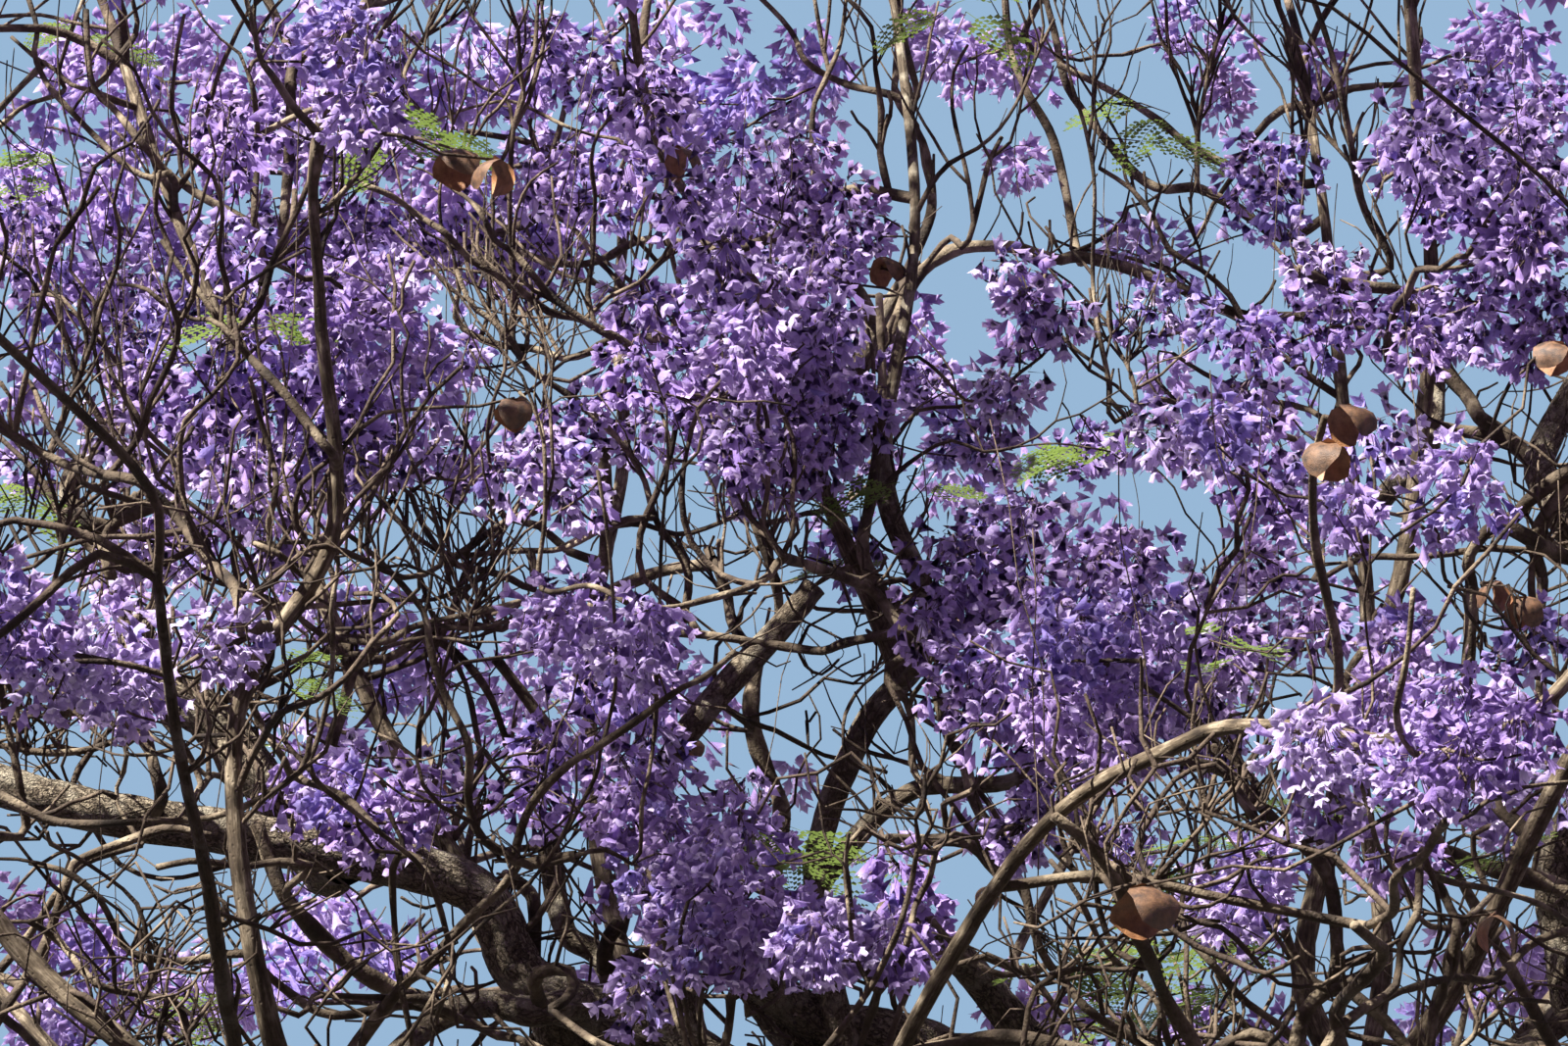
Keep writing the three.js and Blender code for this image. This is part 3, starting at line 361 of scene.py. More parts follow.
# Clumps of blossom in the photograph: middle and half of the size in pixels, and depth
CLUMPS = [
    # the nearest, at the left
    (28, 640, 48, 50, 7.5), (60, 684, 42, 34, 7.6), (120, 652, 50, 46, 7.9), (128, 700, 36, 30, 7.8),
    (218, 662, 32, 45, 8.3), (0, 600, 34, 34, 7.8),
    # upper left
    (40, 250, 62, 48, 11.8), (10, 215, 40, 40, 12.2), (110, 300, 45, 40, 12.4), (260, 145, 62, 62, 12.0),
    (225, 120, 40, 45, 12.5), (350, 165, 54, 60, 11.4), (300, 50, 38, 34, 11.8), (375, 58, 48, 44, 11.8),
    (320, 235, 90, 42, 11.6), (225, 300, 50, 42, 12.0), (320, 320, 58, 62, 10.6), (395, 320, 70, 70, 9.6),
    (430, 380, 42, 55, 9.9), (140, 400, 60, 45, 10.7), (155, 450, 62, 45, 10.4), (235, 410, 62, 62, 10.5),
    (225, 480, 50, 62, 10.2), (290, 440, 45, 60, 10.8), (385, 450, 48, 40, 10.8), (25, 400, 40, 30, 12.4),
    (280, 560, 28, 50, 10.8), (190, 550, 48, 42, 11.0), (110, 575, 42, 30, 11.4),
    # upper middle
    (560, 30, 55, 38, 12.0), (620, 70, 72, 48, 11.8), (560, 175, 52, 45, 11.6), (630, 180, 62, 55, 11.5),
    (740, 100, 62, 58, 12.6), (790, 165, 75, 55, 11.4), (850, 225, 60, 55, 11.3), (770, 235, 60, 42, 11.8),
    (720, 205, 42, 52, 12.3), (830, 65, 40, 45, 13.2), (700, 20, 60, 25, 13.2), (480, 88, 52, 36, 13.2),
    (440, 230, 60, 50, 12.8),
    # the middle
    (660, 305, 62, 45, 10.9), (745, 285, 72, 45, 10.8), (820, 320, 62, 62, 10.9), (700, 365, 72, 52, 10.8),
    (790, 385, 72, 50, 10.7), (850, 400, 52, 62, 10.9), (735, 430, 62, 42, 10.7), (820, 455, 72, 42, 10.7),
    (880, 445, 34, 60, 11.0), (780, 485, 52, 26, 10.9), (545, 468, 62, 45, 10.7), (600, 440, 42, 42, 10.9),
    (595, 505, 34, 34, 10.8), (655, 440, 34, 30, 11.2), (860, 560, 34, 34, 11.2),
    # the large mass right of the middle
    (1035, 520, 72, 48, 10.8), (990, 575, 60, 55, 10.5), (1075, 600, 72, 58, 10.4),
    (1145, 560, 58, 58, 10.7), (960, 640, 45, 55, 10.3), (1035, 670, 80, 52, 10.1),
    (1125, 665, 72, 50, 10.2), (1055, 735, 72, 50, 10.0), (1140, 735, 52, 48, 10.2),
    (990, 700, 42, 42, 10.2), (1180, 625, 46, 46, 10.6), (1075, 795, 42, 36, 10.1),
    (1230, 590, 46, 46, 11.0), (1240, 680, 42, 34, 11.6),
    # between the middle and the right
    (1070, 320, 60, 42, 11.6), (1035, 275, 34, 24, 12.0), (1030, 400, 55, 34, 11.4),
    (965, 395, 45, 28, 11.8), (985, 450, 50, 36, 11.6), (1110, 455, 42, 26, 12.0), (1195, 440, 62, 40, 10.5),
    (1265, 430, 60, 50, 10.4), (1290, 500, 50, 45, 10.7), (1210, 320, 60, 32, 11.9),
    (1300, 190, 58, 58, 12.2), (1340, 265, 60, 42, 11.9), (1385, 310, 50, 32, 11.6),
    (1050, 160, 36, 34, 12.8), (1310, 345, 60, 40, 11.6), (1290, 560, 52, 42, 11.4),
    # the right
    (1410, 440, 42, 32, 10.0), (1385, 520, 36, 52, 9.6), (1335, 470, 32, 42, 10.2), (1485, 500, 60, 58, 9.9),
    (1440, 330, 46, 45, 10.8), (1500, 320, 62, 42, 11.2), (1495, 190, 66, 72, 10.9),
    (1560, 210, 50, 66, 10.6), (1545, 290, 62, 50, 10.8), (1500, 95, 50, 36, 12.2),
    (1570, 120, 42, 55, 11.8), (1530, 30, 55, 34, 12.6), (1455, 150, 34, 42, 11.8),
    # lower right
    (1340, 750, 50, 46, 7.5), (1415, 690, 46, 62, 8.9), (1480, 710, 58, 62, 7.2), (1550, 740, 52, 52, 7.1),
    (1500, 775, 52, 40, 7.3), (1430, 790, 58, 52, 7.3), (1350, 810, 40, 30, 8.8), (1250, 920, 52, 42, 10.0),
    (1585, 800, 26, 46, 10.2), (1340, 640, 32, 36, 11.2), (1285, 640, 34, 34, 11.5),
    # lower left and middle
    (615, 640, 72, 52, 10.5), (580, 610, 46, 26, 10.8), (640, 690, 52, 30, 10.6), (330, 810, 58, 42, 9.9),
    (425, 810, 42, 38, 9.9), (380, 845, 40, 26, 10.1), (565, 750, 58, 46, 10.2), (620, 775, 46, 42, 10.1),
    (550, 812, 40, 28, 10.1), (665, 745, 46, 40, 10.5), (690, 835, 60, 52, 9.8), (650, 890, 46, 38, 9.9),
    (715, 890, 55, 45, 9.7), (760, 830, 30, 50, 10.4), (700, 935, 52, 32, 9.9), (820, 945, 72, 48, 9.5),
    (770, 970, 46, 30, 9.6), (915, 905, 42, 52, 9.7), (930, 950, 30, 30, 9.8),
    # in front of the limbs
    (352, 40, 28, 30, 7.95), (372, 112, 30, 28, 7.95), (240, 140, 50, 45, 10.8), (230, 250, 40, 34, 10.5),
    (355, 345, 48, 45, 8.5), (640, 372, 45, 34, 10.2), (762, 352, 55, 45, 9.9), (742, 430, 45, 45, 10.2),
    (560, 642, 46, 46, 9.6), (640, 652, 50, 48, 9.6), (1090, 640, 60, 60, 9.2), (1152, 662, 60, 60, 9.2),
    (1062, 722, 50, 50, 9.2), (1132, 742, 60, 44, 9.2), (1182, 716, 46, 44, 9.3), (1450, 150, 50, 45, 10.4),
    (1532, 152, 50, 50, 10.2), (1240, 432, 45, 40, 9.8), (745, 852, 48, 44, 9.3), (760, 930, 44, 38, 9.3),
    (850, 950, 55, 42, 9.3), (720, 965, 36, 32, 9.4), (1225, 720, 34, 30, 10.6), (668, 105, 32, 42, 10.2),
    (820, 962, 50, 34, 9.1), (1550, 250, 44, 40, 10.4), (1560, 352, 36, 34, 10.8), (850, 955, 50, 34, 9.05),
    (450, 350, 40, 34, 11.0), (430, 447, 34, 30, 11.2), (655, 1010, 28, 30, 10.2), (1550, 245, 36, 30, 10.2),
    (1562, 650, 28, 26, 10.4), (150, 555, 36, 28, 10.8), (372, 455, 36, 28, 10.6),
    (1050, 1045, 44, 26, 12.6), (50, 1050, 44, 24, 12.9), (150, 352, 40, 30, 11.2),
    (1150, 850, 30, 24, 11.8), (250, 350, 34, 28, 10.6), (612, 1015, 34, 28, 12.8), (40, 1058, 50, 24, 13.4),
    (1160, 250, 36, 30, 12.6), (1440, 150, 40, 34, 11.8), (1550, 60, 40, 30, 12.6),
    (1250, 652, 40, 30, 10.6), (350, 452, 38, 28, 10.8), (750, 455, 36, 28, 10.2), (850, 256, 36, 28, 11.2),
    (850, 350, 44, 42, 10.3), (1150, 750, 40, 32, 9.1), (950, 50, 34, 34, 12.6), (1050, 850, 32, 28, 10.2),
    (650, 640, 40, 40, 9.2), (1250, 652, 40, 32, 10.8), (1350, 62, 30, 32, 12.8),
    # far off, low in the view
    (60, 960, 62, 38, 13.6), (150, 1005, 62, 38, 13.8), (250, 1010, 46, 34, 14.0), (335, 950, 46, 38, 13.2),
    (400, 975, 36, 34, 13.6), (660, 1000, 40, 30, 12.6), (1575, 975, 32, 42, 12.8),
    (1000, 830, 38, 20, 13.6), (1500, 1000, 40, 22, 13.8), (40, 1040, 50, 26, 13.8),
    (520, 690, 46, 24, 12.9), (350, 640, 34, 34, 13.0), (1010, 55, 62, 45, 13.4), (950, 30, 30, 36, 13.6),
    (1190, 25, 40, 22, 13.8), (1250, 85, 26, 44, 13.8), (110, 40, 62, 36, 13.4), (185, 25, 40, 24, 13.6),
    (130, 130, 40, 40, 13.4), (60, 60, 34, 34, 13.6), (1190, 385, 20, 20, 13.2), (30, 930, 48, 32, 13.2),
    (95, 975, 44, 32, 13.4), (20, 1010, 44, 32, 13.4), (215, 1025, 50, 32, 13.4), (300, 1000, 46, 40, 13.0),
    (320, 925, 44, 34, 13.0), (385, 965, 42, 36, 13.0), (1040, 1030, 54, 32, 13.2),
    (1100, 1045, 42, 26, 13.2), (1225, 1040, 44, 28, 13.2), (1300, 1050, 36, 22, 13.2),
    (1560, 960, 46, 40, 12.4), (1500, 970, 34, 32, 12.6), (1570, 1012, 34, 28, 12.6),
    (1440, 1052, 34, 22, 13.0),
    # behind the upper left
    (190, 60, 64, 42, 13.2), (270, 90, 52, 48, 12.8), (335, 25, 64, 36, 12.8), (400, 95, 48, 48, 12.8),
    (385, 145, 44, 42, 12.6), (310, 120, 52, 42, 12.6), (20, 180, 48, 34, 12.6), (100, 185, 50, 34, 12.6),
    (150, 110, 46, 44, 12.8), (60, 222, 62, 34, 12.4), (150, 232, 48, 34, 12.4), (150, 290, 56, 34, 12.0),
    (65, 285, 62, 30, 12.2), (190, 245, 44, 38, 12.4), (210, 292, 52, 38, 12.0), (40, 120, 40, 30, 12.8),
    (55, 340, 34, 26, 12.4), (140, 350, 50, 40, 12.0), (440, 110, 44, 42, 12.6), (480, 222, 52, 42, 12.2),
    (530, 232, 52, 38, 12.0), (505, 45, 44, 34, 13.0), (540, 88, 44, 34, 12.8), (410, 242, 44, 38, 12.2),
    (450, 182, 44, 38, 12.4), (575, 240, 44, 34, 12.2), (545, 282, 44, 28, 12.2), (500, 262, 38, 28, 12.2),
    (650, 112, 52, 46, 12.4), (690, 125, 42, 50, 12.6), (355, 230, 50, 44, 12.2), (350, 300, 50, 50, 11.6),
    (375, 370, 52, 50, 11.2), (300, 385, 46, 40, 11.4), (340, 425, 46, 42, 11.0), (372, 408, 42, 42, 10.7),
    (480, 470, 32, 30, 11.2), (30, 470, 34, 26, 12.2), (320, 495, 34, 34, 11.6),
    # in front of the straight limb, and small ones between the limbs
    (702, 200, 42, 36, 10.2), (737, 262, 36, 36, 10.2), (777, 322, 46, 42, 10.3), (812, 402, 42, 42, 10.4),
    (925, 335, 38, 42, 12.4), (948, 382, 42, 34, 12.2), (385, 625, 34, 28, 12.8), (432, 682, 36, 34, 12.8),
    (350, 760, 48, 34, 12.4), (402, 702, 38, 34, 12.8), (452, 790, 34, 30, 12.0), (340, 790, 52, 38, 10.2),
    (1290, 905, 44, 42, 10.2), (1250, 925, 56, 46, 8.6), (1285, 890, 30, 30, 8.6), (745, 850, 30, 30, 11.4),
    (800, 790, 30, 34, 13.0), (722, 690, 22, 40, 13.0), (1230, 760, 30, 30, 11.8), (1030, 845, 40, 26, 12.6),
    (1540, 830, 44, 32, 9.6), (1420, 870, 44, 34, 9.2), (1450, 650, 50, 36, 9.6), (645, 700, 50, 40, 10.4),
    (660, 830, 60, 40, 9.9), (842, 952, 54, 34, 9.3), (905, 955, 46, 40, 9.6),
]

# Places where more twigs start, and where fewer do, to come near the photograph: middle and reach in pixels
TANGLES = [
    (460, 640, 50), (150, 1040, 50), (450, 150, 40), (1150, 1040, 50), (1450, 850, 50), (450, 350, 50),
    (750, 1040, 50), (50, 750, 50), (550, 850, 60), (1250, 850, 60), (1250, 1040, 60), (450, 150, 60),
    (450, 950, 60), (350, 550, 50), (250, 350, 50), (1350, 150, 50), (1150, 950, 60), (50, 550, 50),
    (750, 950, 50), (150, 350, 50), (450, 850, 50), (1550, 50, 50), (350, 550, 60), (50, 750, 70),
    (150, 650, 60), (450, 50, 60), (1550, 650, 60), (750, 1040, 60), (150, 750, 60), (250, 650, 60),
    (250, 750, 60), (1250, 250, 60), (150, 250, 60), (250, 550, 50), (50, 450, 60), (250, 950, 60),
    (450, 650, 60), (650, 450, 50), (150, 550, 50), (450, 150, 60), (950, 850, 60), (150, 950, 60),
    (350, 50, 50), (150, 450, 50), (1250, 50, 60), (1150, 50, 60), (150, 1050, 60), (1550, 1040, 60),
    (760, 550, 50), (50, 550, 50), (1550, 550, 50), (850, 550, 60), (1150, 350, 50), (550, 350, 60),
    (1150, 1050, 50), (1250, 850, 50),
]
ROOMY = [
    (950, 150, 60), (650, 1050, 50), (50, 1050, 50), (350, 450, 50), (1150, 50, 50), (1450, 950, 50),
    (950, 350, 50), (550, 250, 50), (1450, 150, 50), (950, 50, 50), (950, 1050, 70), (1150, 750, 60),
    (1050, 950, 60), (1350, 50, 60), (850, 1050, 50), (1350, 950, 50), (1050, 750, 50), (1250, 770, 50),
    (750, 850, 50), (850, 950, 50), (650, 850, 50), (950, 950, 60), (550, 550, 50), (150, 50, 60),
    (50, 50, 60), (250, 150, 50), (1450, 550, 60), (350, 1050, 60), (850, 1050, 60),
]

# Patches of open sky in the photograph: middle and radius in pixels
OPEN_SKY = [
    (235, 60, 24), (70, 150, 24), (205, 192, 18), (228, 240, 20), (42, 330, 20), (66, 376, 24),
    (735, 55, 26), (872, 100, 18), (935, 150, 44), (985, 145, 36), (965, 225, 24), (1150, 70, 24),
    (1140, 130, 24), (1278, 142, 24), (1345, 58, 40), (1388, 75, 18), (1232, 180, 20), (1060, 238, 28),
    (1128, 228, 32), (985, 312, 40), (1080, 290, 18), (1222, 370, 20), (1128, 398, 32), (1164, 390, 14),
    (1386, 380, 20), (1420, 205, 18), (530, 322, 30), (572, 340, 14), (640, 372, 14), (460, 482, 28),
    (470, 530, 24), (525, 545, 30), (565, 548, 30), (685, 462, 24), (738, 545, 36), (700, 512, 18),
    (960, 525, 22), (925, 582, 18), (790, 612, 30), (728, 632, 20), (855, 636, 26), (830, 700, 48),
    (820, 768, 34), (945, 742, 36), (985, 755, 18), (1410, 570, 34), (1472, 592, 26), (1386, 652, 18),
    (1552, 580, 16), (1240, 512, 24), (1170, 508, 18), (1412, 490, 14), (380, 740, 24), (430, 742, 24),
    (110, 790, 26), (60, 862, 18), (30, 892, 16), (112, 896, 22), (150, 940, 32), (190, 890, 18),
    (230, 890, 18), (340, 1010, 26), (370, 945, 18), (426, 940, 18), (462, 1002, 20), (522, 930, 18),
    (496, 880, 14), (970, 880, 18), (1018, 932, 32), (1046, 962, 18), (1192, 850, 22), (1230, 800, 22),
    (1330, 960, 28), (1350, 925, 16), (1410, 962, 20), (1460, 950, 28), (1492, 926, 16), (860, 1022, 22),
    (945, 1030, 38), (775, 1036, 16), (750, 760, 18), (1480, 1022, 16), (1255, 830, 14),
]

# Seed pods and leaves in the photograph: middle in pixels, depth, and how far round a pod is turned
PODS = [
    (466, 165, 7.9, 0.3), (505, 175, 7.8, 2.2), (525, 418, 9.0, 0.2), (697, 163, 10.4, 1.0),
    (1378, 425, 7.0, 0.6), (1352, 462, 7.1, 2.6), (1168, 915, 7.3, 0.5), (1526, 606, 9.6, 2.0),
    (1557, 620, 9.6, 0.4), (1524, 944, 8.6, 1.2), (1010, 915, 11.5, 1.6), (905, 275, 11.2, 0.8),
    (1582, 360, 9.8, 2.8),
]
BIG_POD_DEPTH = 7.3  # the depth of the one pod that is bigger than the others
LEAVES = [
    (360, 125, 9.2), (410, 145, 9.2), (265, 325, 10.2), (985, 18, 11.0), (1160, 452, 11.2),
    (1245, 680, 10.2), (806, 849, 9.8), (1235, 870, 9.0), (1205, 875, 9.1), (1200, 970, 9.4),
    (940, 505, 10.8), (300, 712, 9.6), (1220, 1025, 9.6), (70, 165, 12.0), (95, 45, 12.4), (905, 580, 11.0),
    (40, 520, 10.6), (1345, 830, 9.6), (1100, 985, 10.4), (1560, 870, 10.4), (250, 1035, 11.4),
    (1180, 110, 12.0), (780, 860, 10.0), (1110, 460, 11.2), (1170, 1035, 10.2), (1245, 1025, 10.4),
    (1228, 958, 9.6), (1090, 972, 10.4), (1130, 1040, 10.6),
]

# Repeatable numbers
WORD, HALF_WORD = 0xFFFFFFFF, 0xFFFF
NOISE_PRIMES = (73856093, 19349663, 83492791)
SEED_PRIME, STIR_PRIME = 2654435761, 1274126177


def seeded_random(seed):
    """The same stream of numbers from 0 to 1 as the solids are laid out by."""
    state = seed

    def draw():
        nonlocal state
        state = (state + 0x6D2B79F5) & WORD
        t = state
        t = ((t ^ (t >> 15)) * (t | 1)) & WORD
        t ^= (t + (((t ^ (t >> 7)) * (t | 61)) & WORD)) & WORD
        return (t ^ (t >> 14)) / (WORD + 1)

    return draw


def either_way(random, size):
    return (2 * random() - 1) * size


def noise(points, seed=0):
    """Smooth noise from -1 to 1 at points, with one lump to a unit."""
    cell = np.floor(points).astype(np.int64)
    part = points - cell
    part = part * part * (3 - 2 * part)
    total = np.zeros(len(points))
    for corner in np.ndindex(2, 2, 2):
        at = (cell + np.array(corner)) * np.array(NOISE_PRIMES)
        mixed = at[:, 0] ^ at[:, 1] ^ at[:, 2] ^ (seed * SEED_PRIME)
        mixed = (mixed ^ (mixed >> 13)) * STIR_PRIME & WORD
        mixed = (mixed ^ (mixed >> 16)) & HALF_WORD
        share = np.prod(np.where(corner, part, 1 - part), axis=1)
        total += share * (mixed / (HALF_WORD / 2) - 1)
    return total


# Directions, and places in the photograph
TINY = 1e-9
NEAREST = 0.1  # depth from which the photograph's pixels are worked out
ASKEW = (0.31, 0.53, 0.79)  # a direction that no limb has


def unit(vectors):
    vectors = np.asarray(vectors, float)
    return vectors / np.maximum(np.linalg.norm(vectors, axis=-1, keepdims=True), TINY)


def heading(start, end):
    return math.degrees(math.atan2(end[1] - start[1], end[0] - start[0]))


def direction(turn, slope):
    turn, slope = math.radians(turn), math.radians(slope)
    return np.array([math.cos(slope) * math.cos(turn), math.cos(slope) * math.sin(turn), math.sin(slope)])


def two_across(along, askew):
    """Two directions across along and each other."""
    aside = unit(np.cross(along, askew))
    return aside, np.cross(along, aside)


def turns(count):
    return 2 * np.pi * np.arange(count) / count


def to_photo(points):
    """Pixels across and down in the photograph, and depth, of points."""
    away = np.asarray(points, float) - CAMERA
    depth = away @ AHEAD
    safe = np.maximum(depth, NEAREST)
    across = PHOTO_WIDE / 2 + PIXELS * (away @ RIGHT) / safe
    down = PHOTO_TALL / 2 - PIXELS * (away @ ABOVE) / safe
    return across, down, depth


def from_photo(across, down, depth):
    aside = (across - PHOTO_WIDE / 2) / PIXELS
    raised = (PHOTO_TALL / 2 - down) / PIXELS
    return CAMERA + depth * (AHEAD + aside * RIGHT + raised * ABOVE)


def in_view(points, margin=0):
    across, down, depth = to_photo(points)
    inside = (across > -margin) & (across < PHOTO_WIDE + margin)
    inside &= (down > -margin) & (down < PHOTO_TALL + margin)
    return inside & (depth > NEAREST)


# Lines
LINE_STEPS = 201
NUDGE = 1e-3


class Line:
    """A smooth line, read by the share of its length."""

    def __init__(self, evaluate):
        self.evaluate = evaluate
        self.t = np.linspace(0, 1, LINE_STEPS)
        steps = np.linalg.norm(np.diff(evaluate(self.t), axis=0), axis=1)
        self.way = np.concatenate([[0], np.cumsum(steps)])
        self.length = self.way[-1]

    def at(self, share):
        return self.evaluate(np.interp(np.atleast_1d(share) * self.length, self.way, self.t))

    def along(self, share):
        share = np.atleast_1d(share)
        return unit(self.at(np.minimum(share + NUDGE, 1)) - self.at(np.maximum(share - NUDGE, 0)))


def smooth_line(points):
    points = np.array(points, float)
    whole = np.vstack([2 * points[0] - points[1], points, 2 * points[-1] - points[-2]])

    def evaluate(t):
        place = np.atleast_1d(t) * (len(points) - 1)
        i = np.minimum(place.astype(int), len(points) - 2)
        w = (place - i)[:, None]
        a, b, c, d = whole[i], whole[i + 1], whole[i + 2], whole[i + 3]
        rise, fall = (c - a) / 2, (d - b) / 2
        return b + w * rise + w**2 * (3 * (c - b) - 2 * rise - fall) + w**3 * (2 * (b - c) + rise + fall)

    return Line(evaluate)


def arched_line(start, leaving, arriving, end):
    def evaluate(t):
        w = np.atleast_1d(t)[:, None]
        v = 1 - w
        return v**3 * start + 3 * v**2 * w * leaving + 3 * v * w**2 * arriving + w**3 * end

    return Line(evaluate)


# The lay-out of masses and limbs
def place_masses():
    random = seeded_random(UNEVEN["seed"])
    masses = {}
    for ring, size in RINGS.items():
        for i in range(size["count"]):
            out = size["radius"] + either_way(random, UNEVEN["radius"] if size["count"] > 1 else 0)
            centre = direction(size["first"] + 360 / size["count"] * i, 0) * out
            centre[2] = size["height"] + either_way(random, UNEVEN["height"])
            reach = size["reach"] + either_way(random, UNEVEN["reach"])
            masses[ring, i] = dict(centre=centre, reach=reach)
    return masses


masses = place_masses()


def limb_end(limb, foot):
    if "end" in limb or limb["to"] not in masses:
        return np.array(limb.get("end", limb["to"]))
    mass = masses[limb["to"]]
    inward = direction(heading(foot, mass["centre"]), limb["settle"])
    return mass["centre"] - inward * mass["reach"] * ENTERS_AT


def crooked_arch(limb, foot, end, random):
    span = np.linalg.norm(end - foot)
    straight = heading(foot, end)
    leaving = foot + direction(straight + limb["veer"], limb["climb"]) * span * ARCH["leaves"]
    arriving = end - direction(straight, limb["settle"]) * span * ARCH["arrives"]
    bends = round(span / CROOK["every"])
    points = arched_line(foot, leaving, arriving, end).at(np.arange(1, bends + 1) / (bends + 1))
    across = direction(straight + 90, 0)
    for point in points:
        point += across * either_way(random, CROOK["sideways"])
        point += UP * either_way(random, CROOK["upright"])
    return list(points)


def lay_out_limbs():
    lean = TRUNK["lean"]
    trunk = Line(lambda t: np.stack([lean[0] * t * t, lean[1] * t * t, TRUNK["height"] * t], axis=1))
    laid = {"trunk": dict(name="trunk", origin=None, to=None, tip=0, line=trunk)}
    sides = []
    for i, side in enumerate(SIDE_LIMBS):
        climb, settle = SIDE_SLOPES[side["to"][0]]
        name = "limb_{}_{}".format(*side["to"])
        veer = SIDE_VEER if i % 2 else -SIDE_VEER
        sides.append(dict(name=name, climb=climb, settle=settle, veer=veer, **side))
    for i, limb in enumerate(BOUGHS + sides):
        foot = laid[limb["origin"]]["line"].at(limb["at"])[0]
        end = limb_end(limb, foot)
        between = limb.get("by") or crooked_arch(limb, foot, end, seeded_random(CROOK["seed"] + i))
        laid[limb["name"]] = {"tip": THICK["tip"], **limb, "line": smooth_line([foot, *between, end])}
    return laid


limbs = lay_out_limbs()


def masses_carried(limb):
    own = 1 if limb["to"] in masses else 0
    return own + sum(masses_carried(other) for other in limbs.values() if other["origin"] == limb["name"])


def limb_radius(limb):
    foot = THICK["one"] * max(1, masses_carried(limb)) ** THICK["power"] * limb.get("girth", 1)
    length = limb["line"].length

    def radius(share, angle):
        taper = foot + (limb["tip"] - foot) * share ** THICK["taper"]
        return taper * (1 + COLLAR["share"] * np.exp(-share * length / (COLLAR["length"] * foot)))

    return radius


def trunk_radius(share, angle):
    waist = THICK["one"] * len(masses) ** THICK["power"]
    flare = FLARE["spread"] * np.exp(-share * TRUNK["height"] / FLARE["height"])
    ribbed = 1 + FLARE["rib_depth"] * np.cos(FLARE["ribs"] * angle + FLARE["turned"])
    past = np.maximum(0, (share - TRUNK["shoulder"]) / (1 - TRUNK["shoulder"]))
    return (waist - TRUNK["taper"] * share + flare * ribbed) * np.sqrt(1 - TRUNK["rounding"] * past**2)


for limb in limbs.values():
    limb["radius"] = trunk_radius if limb["name"] == "trunk" else limb_radius(limb)


def inside_own_space(point, own):
    """How far a point is inside the wall half way to the nearest other mass."""
    room = math.inf
    mine = np.sum((point - own["centre"]) ** 2)
    for mass in masses.values():
        if mass is not own:
            lead = np.sum((point - mass["centre"]) ** 2) - mine
            room = min(room, lead / (2 * np.linalg.norm(mass["centre"] - own["centre"])))
    return room


# Meshes
class Pile:
    """Corners and faces of like pieces, gathered to be joined into one mesh."""

    def __init__(self):
        self.corners, self.faces, self.marks, self.count = [], [], [], 0

    def add(self, corners, faces, marks=None):
        self.corners.append(corners)
        self.faces += [block + self.count for block in faces]
        if marks is not None:
            self.marks.append(marks)
        self.count += len(corners)

    def add_many(self, sets, faces, marks=None):
        """The same faces on each set of corners."""
        many = faces[None] + sets.shape[1] * np.arange(len(sets))[:, None, None]
        self.add(sets.reshape(-1, 3), [many.reshape(-1, faces.shape[1])], marks)

    def make(self, name, finish, slot, replaced=()):
        corners = np.concatenate(self.corners).astype(np.float32)
        mesh = bpy.data.meshes.new(name)
        mesh.vertices.add(len(corners))
        mesh.vertices.foreach_set("co", corners.ravel())
        sizes = np.concatenate([np.full(len(block), block.shape[1]) for block in self.faces])
        loops = np.concatenate([block.ravel() for block in self.faces])
        mesh.loops.add(len(loops))
        mesh.loops.foreach_set("vertex_index", loops.astype(np.int32))
        mesh.polygons.add(len(sizes))
        starts = np.concatenate([[0], np.cumsum(sizes)[:-1]])
        mesh.polygons.foreach_set("loop_start", starts.astype(np.int32))
        mesh.polygons.foreach_set("use_smooth", np.ones(len(sizes), bool))
        if self.marks:
            layer = mesh.attributes.new("own_place", "FLOAT_VECTOR", "POINT")
            layer.data.foreach_set("vector", np.concatenate(self.marks).astype(np.float32).ravel())
        mesh.update(calc_edges=True)
        mesh.materials.append(finish)
        piece = bpy.data.objects.new(name, mesh)
        bpy.context.scene.collection.objects.link(piece)
        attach(piece, "root")
        if replaced:
            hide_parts(*replaced)


def frames_along(points):
    """Directions along a row of points, and two across that turn as little as they can."""
    along = unit(np.gradient(points, axis=0))
    first = np.cross(along[0], ASKEW)
    across = [first / np.linalg.norm(first)]
    for step in along[1:]:
        turned = across[-1] - step * (across[-1] @ step)
        across.append(turned / np.linalg.norm(turned))
    across = np.array(across)
    return along, across, np.cross(along, across)


